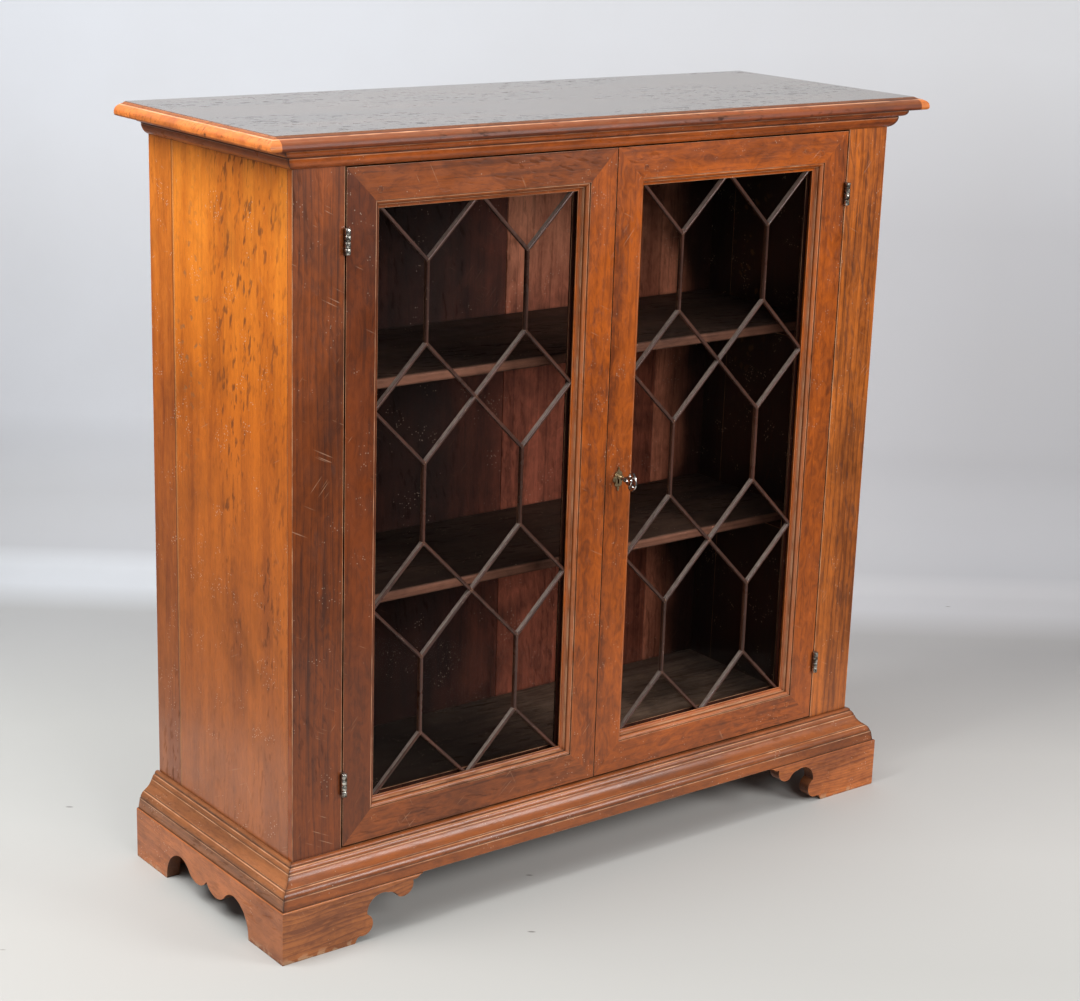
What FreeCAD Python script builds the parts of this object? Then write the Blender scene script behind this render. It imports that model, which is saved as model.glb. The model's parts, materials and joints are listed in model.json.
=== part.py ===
import FreeCAD
import Part
import Sketcher
import math
import os

# A low two-door bookcase in solid wood: a carcass on bracket feet, a moulded base and cornice,
# a moulded top, and two glazed doors whose glazing bars make a lattice of long hexagons.
# Units are millimetres. X runs to the right, Y to the back and Z up. The origin lies on the floor,
# in the middle of the plan of the base.

# Driving dimensions, grouped by the piece that carries them
SIZES = {
    # Carcass
    "cabinet_height": 1086.0,
    "carcass_width": 1020.0,
    "carcass_depth": 365.0,
    "side_thickness": 20.0,
    "side_joint_groove": 0.7,
    "face_stile_width": 77.0,
    "face_stile_lip": 10.5,
    "back_thickness": 12.0,
    "back_rebate": 10.0,
    "back_board_width": 304.0,
    "back_joint_offset": 81.0,
    "back_joint_groove": 1.2,
    "floor_thickness": 18.0,
    "floor_drop": 6.5,
    "top_cleat_height": 28.0,
    "top_cleat_depth": 22.0,
    # Top and cornice
    "top_thickness": 18.0,
    "top_side_out": 50.0,
    "top_front_out": 34.0,
    "top_edge_width": 17.0,
    "cornice_out": 21.0,
    "cornice_height": 26.4,
    # Base moulding and feet
    "base_out": 36.0,
    "base_back_out": 4.0,
    "base_moulding_out": 33.0,
    "base_moulding_height": 50.5,
    "foot_height": 75.5,
    "foot_length": 224.0,
    "foot_board_thickness": 20.0,
    "foot_edge_round": 2.0,
    "rear_foot_length": 110.0,
    "glue_block_width": 40.0,
    "glue_block_gap": 3.0,
    # Shelves
    "shelf_thickness": 16.0,
    "shelf_end_gap": 0.5,
    "shelf_edge_round": 5.0,
    "upper_shelf_top": 739.5,
    "upper_shelf_setback": 98.0,
    "lower_shelf_top": 429.5,
    "lower_shelf_setback": 117.0,
    "shelf_cleat_height": 20.0,
    "shelf_cleat_width": 18.0,
    "shelf_cleat_setback": 14.0,
    # Doors
    "door_thickness": 27.0,
    "door_side_gap": 2.0,
    "door_top_gap": 2.1,
    "door_bottom_gap": 2.5,
    "door_meeting_gap": 1.4,
    "door_edge_lean": 1.2,
    "door_flat_width": 44.0,
    "sticking_width": 12.0,
    "sticking_depth": 14.0,
    "glazing_rebate": 7.0,
    "door_stop_width": 12.0,
    "door_stop_overlap": 8.0,
    "door_stop_gap": 0.4,
    # Glazing
    "bar_width": 5.0,
    "bar_depth": 8.0,
    "bar_nose_depth": 2.2,
    "bar_shoulder_depth": 3.4,
    "bar_web_width": 3.2,
    "lattice_side_run": 2.0,
    "lattice_end_run": 7.5,
    "lattice_upright": 109.5,
    "glass_thickness": 2.0,
    "glass_margin": 1.0,
    # Corner pegs
    "peg_half_width": 4.0,
    "peg_length": 16.0,
    "peg_inset": 50.0,
    "peg_height": 30.0,
    # Hinges
    "hinge_height": 33.0,
    "hinge_from_end": 91.0,
    "hinge_barrel_radius": 4.0,
    "hinge_barrel_proud": 4.5,
    "hinge_leaf_thickness": 0.8,
    "hinge_leaf_depth": 17.0,
    "hinge_knuckle_gap": 0.25,
    "hinge_pin_radius": 1.5,
    "hinge_pin_clearance": 0.06,
    # Lock, bolt, key and escutcheon
    "keyhole_from_edge": 22.0,
    "keyhole_height": 577.3,
    "keyhole_clearance": 0.3,
    "keyhole_slot_width": 3.0,
    "keyhole_slot_drop": 9.5,
    "lock_width": 38.0,
    "lock_height": 54.0,
    "lock_depth": 13.0,
    "lock_wall": 2.0,
    "bolt_height": 11.0,
    "bolt_thickness": 5.0,
    "bolt_length": 26.0,
    "bolt_rise": 16.0,
    "bolt_clearance": 0.4,
    "bolt_throw": 8.0,
    "escutcheon_height": 36.0,
    "escutcheon_width": 20.0,
    "escutcheon_thickness": 1.4,
    "escutcheon_drop": 2.4,
    "key_shank_radius": 2.4,
    "key_shank_out": 17.0,
    "key_bow_length": 23.0,
    "key_bow_width": 26.0,
    "key_bow_thickness": 2.6,
    "key_ring_radius": 6.4,
    "key_ring_bore": 3.2,
    "key_ring_out": 6.0,
    "key_ear_radius": 4.7,
    "key_ear_bore": 3.0,
    "key_ear_out": 12.0,
    "key_bar_out": 16.2,
    "key_bar_width": 2.2,
    "key_bar_end": 1.5,
    "key_collar_radius": 3.6,
    "key_collar_length": 1.8,
    "key_bit_length": 6.5,
    "key_bit_width": 5.0,
    "key_bit_thickness": 2.0,
    # Flush bolts of the left door
    "flush_plate_height": 104.0,
    "flush_plate_width": 12.0,
    "flush_plate_thickness": 1.8,
    "flush_bolt_width": 6.0,
    "flush_bolt_length": 84.0,
    "flush_bolt_inset": 6.5,
    "flush_bolt_clearance": 0.4,
    "flush_bolt_travel": 12.0,
    "flush_bolt_back": 1.5,
    "flush_slot_width": 4.4,
    "flush_slot_length": 26.0,
    "flush_thumb_width": 3.8,
    # Cutting tools reach past a piece by this much
    "overrun": 3.0,
}

# Outlines as shares of the sizes that they follow. Each row is across, down and bulge, where a
# bulge is the rise of an arc over its chord, a share of the width. Plus swells out of the piece
# and minus hollows into it.
TOP_EDGE_SHARES = [
    (0.22, 0.11, 0.0),
    (0.26, 0.14, 0.0),
    (0.62, 0.24, 0.03),
    (1.00, 0.70, 0.10),
    (0.90, 0.97, 0.05),
    (0.80, 1.00, 0.01),
]
CORNICE_SHARES = [
    (1.00, 0.00, 0.0),
    (1.00, 0.06, 0.0),
    (0.63, 0.37, 0.11),
    (0.52, 0.37, 0.0),
    (0.52, 0.45, 0.0),
    (0.05, 1.00, 0.12),
    (0.00, 1.00, 0.0),
]
BASE_MOULDING_SHARES = [
    (0.076, 0.000, 0.0),
    (0.182, 0.069, 0.028),
    (0.182, 0.089, 0.0),
    (0.206, 0.089, 0.0),
    (0.318, 0.218, 0.020),
    (0.342, 0.226, 0.0),
    (0.691, 0.503, -0.054),
    (0.691, 0.519, 0.0),
    (0.709, 0.519, 0.0),
    (0.897, 0.713, 0.042),
    (0.927, 0.713, 0.0),
    (1.000, 1.000, 0.0),
]
STICKING_SHARES = [
    (0.00, 0.13, 0.0),
    (0.10, 0.13, 0.0),
    (0.47, 0.50, 0.12),
    (0.57, 0.50, 0.0),
    (0.57, 0.60, 0.0),
    (0.87, 0.886, -0.09),
    (1.00, 0.886, 0.0),
    (1.00, 1.00, 0.0),
]
# Shares of a front foot's length and height, from its outer corner along the floor and back up
FRONT_FOOT_SHARES = [
    (0.504, 0.000, 0.0),
    (0.522, 0.100, 0.0),
    (0.540, 0.120, 0.0),
    (0.592, 0.500, 0.066),
    (0.742, 0.820, -0.053),
    (0.817, 0.680, -0.012),
    (0.921, 0.930, 0.045),
    (0.931, 0.930, 0.0),
    (0.968, 0.968, 0.004),
    (0.974, 0.984, 0.0),
    (1.000, 1.000, 0.0),
]
# Shares of a side apron's half length and its height, from the front foot to the middle
APRON_SHARES = [
    (0.437, 0.000, 0.0),
    (0.440, 0.030, 0.0),
    (0.635, 0.645, -0.061),
    (0.765, 0.458, -0.017),
    (1.000, 0.530, 0.053),
]
# Shares of a rear foot's length and height, along the floor and up its hollow end
REAR_FOOT_SHARES = [
    (0.62, 0.00, 0.0),
    (1.00, 0.80, -0.07),
    (1.00, 1.00, 0.0),
]
# The share of a side's depth that its wide front plank takes
SIDE_PLANK_SHARE = 0.822
# The rise of a quarter round over its chord, as a share of its radius
QUARTER_ROUND_SHARE = 1 - math.cos(math.radians(45))
# Half of a regular octagon's side, as a share of half its width
OCTAGON_SIDE_SHARE = math.tan(math.radians(22.5))
# How much of the lock lies below its keyhole
LOCK_DROP_SHARE = 0.4
# Shares of the escutcheon's half width and half height, from the top down to its widest point
ESCUTCHEON_SHARES = [
    (0.14, 0.86, 0.02),
    (0.22, 0.62, -0.03),
    (0.62, 0.44, 0.07),
    (0.66, 0.24, -0.03),
    (1.00, 0.00, 0.06),
]


class Size:
    """A length: its value, and the formula that ties it to the sheet."""

    def __init__(self, value, formula):
        self.value = value
        self.formula = formula

    def __add__(self, other):
        other = as_size(other)
        return Size(self.value + other.value, f"({self.formula} + {other.formula})")

    def __sub__(self, other):
        other = as_size(other)
        return Size(self.value - other.value, f"({self.formula} - {other.formula})")

    def __mul__(self, other):
        other = as_size(other)
        return Size(self.value * other.value, f"({self.formula} * {other.formula})")

    def __truediv__(self, other):
        other = as_size(other)
        return Size(self.value / other.value, f"({self.formula} / {other.formula})")

    def __neg__(self):
        return Size(-self.value, f"(-1 * {self.formula})")

    __radd__ = __add__
    __rmul__ = __mul__


def as_size(number):
    """A plain number, such as a share or a side's sign, in a formula."""
    if isinstance(number, Size):
        return number
    return Size(float(number), f"{float(number):.6f}")


class SheetSizes:
    """The cells of the sheet, each read as a Size under its alias."""

    def __init__(self, sheet):
        self.sheet = sheet

    def __getattr__(self, alias):
        return Size(float(self.sheet.get(alias)), f"{self.sheet.Name}.{alias}")


doc = FreeCAD.newDocument("Bookcase")
sheet = doc.addObject("Spreadsheet::Sheet", "Sizes")
for row, (alias, number) in enumerate(SIZES.items(), start=1):
    sheet.set(f"A{row}", alias)
    sheet.set(f"B{row}", str(number))
    sheet.setAlias(f"B{row}", alias)
doc.recompute()

size = SheetSizes(sheet)
NONE = as_size(0)
ACROSS = FreeCAD.Vector(1, 0, 0)
DEEP = FreeCAD.Vector(0, 1, 0)
nodes = []
shelf_cleats = []
hinge_frame_leaves = []
hinge_pins = []

# Places that several pieces share
half_width = size.carcass_width / 2
base_depth = size.carcass_depth + size.base_out + size.base_back_out
base_front = -base_depth / 2
base_back = base_depth / 2
front = base_front + size.base_out
back = front + size.carcass_depth
back_inside = back - size.back_thickness
frame_back = front + size.door_thickness
top_under = size.cabinet_height - size.top_thickness
cornice_bottom = top_under - size.cornice_height
base_top = size.foot_height + size.base_moulding_height
floor_top = base_top - size.floor_drop
floor_bottom = floor_top - size.floor_thickness
side_inside = half_width - size.side_thickness
opening_edge = half_width - size.face_stile_width
side_front = front + size.face_stile_lip
plank_joint = front + size.carcass_depth * SIDE_PLANK_SHARE
door_bottom = base_top + size.door_bottom_gap
door_top = cornice_bottom - size.door_top_gap
door_edge = opening_edge - size.door_side_gap
door_back = front + size.door_thickness
meeting_edge = size.door_meeting_gap / 2
member_width = size.door_flat_width + size.sticking_width
rebate_wall = member_width - size.glazing_rebate
lattice_front = front + size.sticking_depth
lattice_back = lattice_front + size.bar_depth
stop_front = door_back + size.door_stop_gap
hinge_axis_out = opening_edge - size.door_side_gap / 2
hinge_axis_front = front - size.hinge_barrel_proud


class Outline:
    """A closed outline of straight runs and arcs, whose corners are tied to the sheet.

    place turns the outline's own across and down into the two directions of the sketch.
    """

    def __init__(self, place, across, down):
        self.place = place
        self.corners = [place(across, down)]
        self.bulges = []
        self.closing_bulge = None

    def line(self, across, down):
        self.corners.append(self.place(across, down))
        self.bulges.append(None)
        return self

    def arc(self, across, down, bulge):
        """An arc that rises over its chord by bulge: plus swells outwards, minus hollows inwards."""
        self.corners.append(self.place(across, down))
        self.bulges.append(bulge)
        return self

    def close_arc(self, bulge):
        """Closes the outline with an arc in place of a straight run."""
        self.closing_bulge = bulge

    def runs_clockwise(self):
        area = 0
        for start, end in zip(self.corners, self.corners[1:] + self.corners[:1]):
            area += start[0].value * end[1].value - end[0].value * start[1].value
        return area < 0

    def shares(self, rows, start_across, start_down, width, height):
        """Follows a table of shares from a starting corner, to either side of it."""
        reach = width if width.value > 0 else -width
        for across_share, down_share, bulge_share in rows:
            across = start_across + width * across_share
            down = start_down + height * down_share
            if bulge_share:
                self.arc(across, down, reach * bulge_share)
            else:
                self.line(across, down)
        return self

    def sketch(self, body, name, plane, offset):
        corners = self.corners
        bulges = self.bulges + [self.closing_bulge]
        if self.runs_clockwise():
            bulges = [bulge if bulge is None else -bulge for bulge in bulges]
        drawing = new_sketch(body, name, plane, offset)
        ends = []
        for index, bulge in enumerate(bulges):
            start = corners[index]
            end = corners[(index + 1) % len(corners)]
            ends.append(draw_edge(drawing, start, end, bulge))
        for index in range(len(corners)):
            following = (index + 1) % len(corners)
            last_point = ends[index][1]
            first_point = ends[following][0]
            drawing.addConstraint(
                Sketcher.Constraint("Coincident", index, last_point, following, first_point)
            )
            tie_point(drawing, index, ends[index][0], corners[index])
        for index, bulge in enumerate(bulges):
            if bulge is not None:
                start = corners[index]
                end = corners[(index + 1) % len(corners)]
                tie_radius(drawing, index, arc_radius(start, end, bulge))
        return drawing


def arc_radius(start, end, bulge):
    """The radius of an arc, from its chord and its rise."""
    run = end[0] - start[0]
    climb = end[1] - start[1]
    rise = bulge if bulge.value > 0 else -bulge
    return ((run * run + climb * climb) / 4 + rise * rise) / (rise * 2)


def draw_edge(drawing, start, end, bulge):
    """Adds a line or an arc to a sketch, and gives the numbers of its first and last point.

    The arc rises to the right of the way it runs, or to the left where its bulge is minus.
    """
    first = FreeCAD.Vector(start[0].value, start[1].value, 0)
    last = FreeCAD.Vector(end[0].value, end[1].value, 0)
    if bulge is None:
        drawing.addGeometry(Part.LineSegment(first, last))
        return 1, 2
    radius = arc_radius(start, end, bulge).value
    chord = last - first
    right = FreeCAD.Vector(chord.y, -chord.x, 0).normalize()
    swell = 1 if bulge.value > 0 else -1
    middle = (first + last) / 2
    centre = middle + right * (swell * (abs(bulge.value) - radius))
    first_angle = math.atan2(first.y - centre.y, first.x - centre.x)
    last_angle = math.atan2(last.y - centre.y, last.x - centre.x)
    circle = Part.Circle(centre, FreeCAD.Vector(0, 0, 1), radius)
    if swell > 0:
        drawing.addGeometry(Part.ArcOfCircle(circle, first_angle, last_angle))
        return 1, 2
    drawing.addGeometry(Part.ArcOfCircle(circle, last_angle, first_angle))
    return 2, 1


def tie_point(drawing, edge, point, place):
    across = drawing.addConstraint(
        Sketcher.Constraint("DistanceX", -1, 1, edge, point, place[0].value)
    )
    drawing.setExpression(f"Constraints[{across}]", place[0].formula)
    up = drawing.addConstraint(
        Sketcher.Constraint("DistanceY", -1, 1, edge, point, place[1].value)
    )
    drawing.setExpression(f"Constraints[{up}]", place[1].formula)


def tie_radius(drawing, edge, radius):
    index = drawing.addConstraint(Sketcher.Constraint("Radius", edge, radius.value))
    drawing.setExpression(f"Constraints[{index}]", radius.formula)


def new_sketch(body, name, plane, offset):
    """A sketch on one of the body's own planes, moved out along it by offset."""
    drawing = body.newObject("Sketcher::SketchObject", name)
    for feature in body.Origin.OriginFeatures:
        if feature.Role == plane:
            drawing.AttachmentSupport = (feature, [""])
    drawing.MapMode = "FlatFace"
    drawing.setExpression("AttachmentOffset.Base.z", offset.formula)
    return drawing


def circle_sketch(body, name, plane, offset, place, radius):
    drawing = new_sketch(body, name, plane, offset)
    centre = FreeCAD.Vector(place[0].value, place[1].value, 0)
    drawing.addGeometry(Part.Circle(centre, FreeCAD.Vector(0, 0, 1), radius.value))
    tie_point(drawing, 0, 3, place)
    tie_radius(drawing, 0, radius)
    return drawing


def flat(across, down):
    return across, down


def rectangle(low_x, high_x, low_y, high_y):
    outline = Outline(flat, low_x, low_y)
    outline.line(high_x, low_y).line(high_x, high_y).line(low_x, high_y)
    return outline


def square(across, down, width):
    """A square about its own middle."""
    half = width / 2
    return rectangle(across - half, across + half, down - half, down + half)


def polygon(corners):
    outline = Outline(flat, corners[0][0], corners[0][1])
    for across, down in corners[1:]:
        outline.line(across, down)
    return outline


def octagon(across, down, half_width):
    """A regular eight-sided outline, flat above, below and at its sides."""
    near = half_width * OCTAGON_SIDE_SHARE
    return polygon(
        [
            (across + half_width, down - near),
            (across + half_width, down + near),
            (across + near, down + half_width),
            (across - near, down + half_width),
            (across - half_width, down + near),
            (across - half_width, down - near),
            (across - near, down - half_width),
            (across + near, down - half_width),
        ]
    )


class Circle:
    """A round outline, for bores, pins and rings."""

    def __init__(self, across, down, radius):
        self.place = (across, down)
        self.radius = radius

    def sketch(self, body, name, plane, offset):
        return circle_sketch(body, name, plane, offset, self.place, self.radius)


def new_body(label):
    body = doc.addObject("PartDesign::Body", label)
    body.Label = label
    nodes.append(body)
    return body


def add(body, plane, outline, low, high):
    """Pads an outline from low to high along the plane's own axis of the frame."""
    offset = -high if plane == "XZ_Plane" else low
    drawing = outline.sketch(body, "Outline", plane, offset)
    pad = body.newObject("PartDesign::Pad", "Pad")
    pad.Profile = drawing
    pad.setExpression("Length", (high - low).formula)
    return pad


def cut(body, plane, outline, low, high):
    """Cuts an outline away from low to high along the plane's own axis of the frame."""
    offset = -low if plane == "XZ_Plane" else high
    drawing = outline.sketch(body, "CutOutline", plane, offset)
    pocket = body.newObject("PartDesign::Pocket", "Pocket")
    pocket.Profile = drawing
    pocket.setExpression("Length", (high - low).formula)
    return pocket


def shaped(label, plane, outline, low, high):
    """A piece of its own, padded from one outline."""
    body = new_body(label)
    add(body, plane, outline, low, high)
    return body


def box(name, x_ends, y_ends, z_ends):
    """A plain rectangular block between two ends on each axis."""
    block = doc.addObject("Part::Box", name)
    ends = (x_ends, y_ends, z_ends)
    for extent, axis, (one, other) in zip(("Length", "Width", "Height"), "xyz", ends):
        low, high = ends_of(one, other)
        block.setExpression(extent, (high - low).formula)
        block.setExpression(f"Placement.Base.{axis}", low.formula)
    return block


def board(label, x_ends, y_ends, z_ends):
    """A plain square-edged board as a piece of its own."""
    block = box(label, x_ends, y_ends, z_ends)
    block.Label = label
    nodes.append(block)
    return block


def group(label, members):
    """Several separate solids of one kind under one name."""
    compound = doc.addObject("Part::Compound", label)
    compound.Label = label
    compound.Links = members
    nodes.append(compound)
    return compound


def side_name(side):
    return "left" if side < 0 else "right"


def ends_of(one, other):
    """Two ends, the lower one first."""
    return sorted((one, other), key=lambda end: end.value)


# Top board, moulded along the front and both ends
def top_board():
    outline_front = front - size.top_front_out
    outline_side = half_width + size.top_side_out
    top = size.cabinet_height
    edge = size.top_edge_width
    flat_depth = outline_front + edge - back
    profile = Outline(lambda out, down: (outline_front + edge - out, top - down), NONE, NONE)
    profile.shares(TOP_EDGE_SHARES, NONE, NONE, edge, size.top_thickness)
    profile.line(flat_depth, size.top_thickness)
    profile.line(flat_depth, NONE)
    body = shaped("top_board", "YZ_Plane", profile, -outline_side, outline_side)
    waste_shares = [(across, down, -bulge) for across, down, bulge in TOP_EDGE_SHARES]
    for side in (-1, 1):
        end_waste = Outline(
            lambda out, down: (side * (outline_side - edge + out), top - down),
            NONE,
            -size.overrun,
        )
        end_waste.line(NONE, NONE)
        end_waste.shares(waste_shares, NONE, NONE, edge, size.top_thickness)
        end_waste.line(edge * TOP_EDGE_SHARES[-1][0], size.top_thickness + size.overrun)
        end_waste.line(edge + size.overrun, size.top_thickness + size.overrun)
        end_waste.line(edge + size.overrun, -size.overrun)
        cut(body, "XZ_Plane", end_waste, outline_front - size.overrun, back + size.overrun)


# Mouldings planted on the front and sides, mitred at the front corners
def moulding_outline(place, shares, out, top, height):
    outline = Outline(place, NONE, top)
    outline.shares(shares, NONE, top, out, -height)
    if shares[-1][0]:
        outline.line(NONE, top - height)
    return outline


def front_mitre(side, out):
    """The waste beyond the mitre line at one end of a front moulding, seen from above."""
    reach = out + size.overrun
    corner_x = side * half_width
    return polygon(
        [
            (corner_x - side * size.overrun, front + size.overrun),
            (corner_x + side * reach, front - reach),
            (corner_x + side * reach, front + size.overrun),
        ]
    )


def side_mitre(side, out):
    """The waste in front of the mitre line of a side moulding, seen from above."""
    reach = out + size.overrun
    corner_x = side * half_width
    return polygon(
        [
            (corner_x - side * size.overrun, front + size.overrun),
            (corner_x + side * reach, front - reach),
            (corner_x - side * size.overrun, front - reach),
        ]
    )


def mouldings(name, shares, out, top, height, back_end):
    low = top - height
    front_outline = moulding_outline(
        lambda across, up: (front - across, up), shares, out, top, height
    )
    reach = half_width + out + size.overrun
    body = shaped(f"{name}_front", "YZ_Plane", front_outline, -reach, reach)
    for side in (-1, 1):
        cut(body, "XY_Plane", front_mitre(side, out), low - size.overrun, top + size.overrun)
    for side in (-1, 1):
        side_outline = moulding_outline(
            lambda across, up: (side * (half_width + across), up), shares, out, top, height
        )
        front_end = front - out - size.overrun
        label = f"{name}_{side_name(side)}"
        body = shaped(label, "XZ_Plane", side_outline, front_end, back_end)
        cut(body, "XY_Plane", side_mitre(side, out), low - size.overrun, top + size.overrun)


# Side boards: a wide plank and a narrow one behind it, with a fine groove along the joint
def side_boards():
    groove = size.side_joint_groove
    for side in (-1, 1):
        outside = side * half_width
        inside = side * side_inside
        name = side_name(side)
        wide_plank = polygon(
            [
                (outside, side_front),
                (outside, plank_joint - groove),
                (outside - side * groove, plank_joint),
                (inside, plank_joint),
                (inside, side_front),
            ]
        )
        shaped(f"{name}_side_front_plank", "XY_Plane", wide_plank, size.foot_height, top_under)
        rebate_edge = outside - side * size.back_rebate
        rear_plank = polygon(
            [
                (outside - side * groove, plank_joint),
                (outside, plank_joint + groove),
                (outside, back),
                (rebate_edge, back),
                (rebate_edge, back_inside),
                (inside, back_inside),
                (inside, plank_joint),
            ]
        )
        shaped(f"{name}_side_rear_plank", "XY_Plane", rear_plank, size.foot_height, top_under)


# Face frame: two stiles lapped over the side boards, a rail over the doors and one under them
def face_frame():
    for side in (-1, 1):
        lap = side * side_inside
        stile = polygon(
            [
                (side * opening_edge, front),
                (side * half_width, front),
                (side * half_width, side_front),
                (lap, side_front),
                (lap, frame_back),
                (side * opening_edge, frame_back),
            ]
        )
        label = f"face_stile_{side_name(side)}"
        shaped(label, "XY_Plane", stile, size.foot_height, top_under)

    span = (-opening_edge, opening_edge)
    top_rail = shaped(
        "top_rail", "XY_Plane", rectangle(*span, front, frame_back), cornice_bottom, top_under
    )
    bottom_rail = shaped(
        "bottom_rail", "XY_Plane", rectangle(*span, front, frame_back), size.foot_height, base_top
    )
    hole = flush_bolt_channel()
    depth = size.flush_bolt_travel + size.flush_bolt_back
    cut(top_rail, "XY_Plane", hole, cornice_bottom - size.overrun, cornice_bottom + depth)
    cut(bottom_rail, "XY_Plane", hole, base_top - depth, base_top + size.overrun)


# Inside of the carcass
def carcass_inside():
    inner_span = (-side_inside, side_inside)
    board("bottom_board", inner_span, (frame_back, back_inside), (floor_bottom, floor_top))
    stop_depth = (stop_front, stop_front + size.door_stop_width)
    board(
        "door_stop_bottom", inner_span, stop_depth, (floor_top, door_bottom + size.door_stop_overlap)
    )
    board("door_stop_top", inner_span, stop_depth, (door_top - size.door_stop_overlap, top_under))
    board(
        "rear_top_cleat",
        inner_span,
        (back_inside - size.top_cleat_depth, back_inside),
        (top_under - size.top_cleat_height, top_under),
    )


def back_boards():
    """Upright boards with their joints seen from inside as fine grooves."""
    edge = half_width - size.back_rebate
    joint = size.back_joint_offset
    width = size.back_board_width
    ends = [-edge, joint - width, joint, joint + width, edge]
    groove = size.back_joint_groove
    for number in range(len(ends) - 1):
        low = ends[number]
        high = ends[number + 1]
        outline = polygon(
            [
                (low, back),
                (low, back_inside + groove),
                (low + groove, back_inside),
                (high - groove, back_inside),
                (high, back_inside + groove),
                (high, back),
            ]
        )
        shaped(f"back_board_{number + 1}", "XY_Plane", outline, size.foot_height, top_under)


def shelf(name, top, setback):
    """A shelf with a rounded front edge, on a pair of cleats."""
    nose = front + setback
    low = top - size.shelf_thickness
    edge = size.shelf_edge_round
    swell = edge * QUARTER_ROUND_SHARE
    outline = Outline(flat, back_inside, low)
    outline.line(back_inside, top)
    outline.line(nose + edge, top)
    outline.arc(nose, top - edge, swell)
    outline.line(nose, low + edge)
    outline.arc(nose + edge, low, swell)
    length = side_inside - size.shelf_end_gap
    shaped(f"shelf_{name}", "YZ_Plane", outline, -length, length)
    cleat_depth = (nose + size.shelf_cleat_setback, back_inside)
    cleat_height = (low - size.shelf_cleat_height, low)
    for side in (-1, 1):
        width = (side * side_inside, side * (side_inside - size.shelf_cleat_width))
        cleat_name = f"shelf_{name}_cleat_{side_name(side)}"
        shelf_cleats.append(box(cleat_name, width, cleat_depth, cleat_height))


# Base: front bracket feet, scalloped side aprons, plain rear brackets and glue blocks
def edge_waste(place):
    """The sliver cut away to round the top outer edge of a foot board."""
    edge = size.foot_edge_round
    outline = Outline(place, -size.overrun, size.foot_height + size.overrun)
    outline.line(edge, size.foot_height + size.overrun)
    outline.line(edge, size.foot_height)
    outline.arc(NONE, size.foot_height - edge, edge * -QUARTER_ROUND_SHARE)
    outline.line(-size.overrun, size.foot_height - edge)
    return outline


def foot_corner(side, keep_front):
    """The waste beyond the mitre between a front foot and a side apron, seen from above."""
    corner_x = side * (half_width + size.base_out)
    reach = size.foot_board_thickness + size.overrun
    outer = (corner_x + side * size.overrun, base_front - size.overrun)
    inner = (corner_x - side * reach, base_front + reach)
    if keep_front:
        return polygon([outer, inner, (outer[0], inner[1])])
    return polygon([outer, inner, (inner[0], outer[1])])


def front_foot(side):
    corner_x = side * (half_width + size.base_out)
    outline = Outline(lambda along, up: (corner_x - side * along, up), NONE, size.foot_height)
    outline.line(NONE, NONE)
    outline.shares(FRONT_FOOT_SHARES, NONE, NONE, size.foot_length, size.foot_height)
    inner_face = base_front + size.foot_board_thickness
    label = f"front_foot_{side_name(side)}"
    body = shaped(label, "XZ_Plane", outline, base_front, inner_face)
    cut(body, "XY_Plane", foot_corner(side, True), -size.overrun, size.foot_height + size.overrun)
    waste = edge_waste(lambda inward, up: (base_front + inward, up))
    inner_end = corner_x - side * (size.foot_length + size.overrun)
    cut(body, "YZ_Plane", waste, *ends_of(corner_x + side * size.overrun, inner_end))


def side_apron(side):
    """One board per side: a foot at each end, two arches and a double scallop between them."""
    half_length = base_depth / 2
    outline = Outline(lambda along, up: (base_front + along, up), NONE, size.foot_height)
    outline.line(NONE, NONE)
    outline.shares(APRON_SHARES, NONE, NONE, half_length, size.foot_height)
    for index in range(len(APRON_SHARES) - 1, 0, -1):
        across_share, up_share, bulge_share = APRON_SHARES[index - 1]
        bulge_here = APRON_SHARES[index][2]
        across = base_depth - half_length * across_share
        up = size.foot_height * up_share
        if bulge_here:
            outline.arc(across, up, half_length * bulge_here)
        else:
            outline.line(across, up)
    outline.line(base_depth, NONE)
    outline.line(base_depth, size.foot_height)
    outer = side * (half_width + size.base_out)
    inner = outer - side * size.foot_board_thickness
    label = f"side_apron_{side_name(side)}"
    body = shaped(label, "YZ_Plane", outline, *ends_of(outer, inner))
    cut(body, "XY_Plane", foot_corner(side, False), -size.overrun, size.foot_height + size.overrun)
    waste = edge_waste(lambda inward, up: (outer - side * inward, up))
    cut(body, "XZ_Plane", waste, base_front - size.overrun, base_back + size.overrun)


def rear_foot(side):
    """A plain bracket behind each apron, cut to a hollow curve."""
    outer = side * (half_width + size.base_out - size.foot_board_thickness)
    outline = Outline(lambda along, up: (outer - side * along, up), NONE, size.foot_height)
    outline.line(NONE, NONE)
    outline.shares(REAR_FOOT_SHARES, NONE, NONE, size.rear_foot_length, size.foot_height)
    label = f"rear_foot_{side_name(side)}"
    shaped(label, "XZ_Plane", outline, back - size.foot_board_thickness, back)


def glue_blocks():
    """Square blocks in the corners of the feet, which carry the carcass."""
    blocks = []
    width = size.glue_block_width
    heights = (size.glue_block_gap, size.foot_height)
    front_face = base_front + size.foot_board_thickness
    rear_face = back - size.foot_board_thickness
    for side in (-1, 1):
        outer = side * (half_width + size.base_out - size.foot_board_thickness)
        across = (outer, outer - side * width)
        name = side_name(side)
        blocks.append(box(f"block_front_{name}", across, (front_face, front_face + width), heights))
        blocks.append(box(f"block_rear_{name}", across, (rear_face - width, rear_face), heights))
    group("glue_blocks", blocks)


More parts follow.
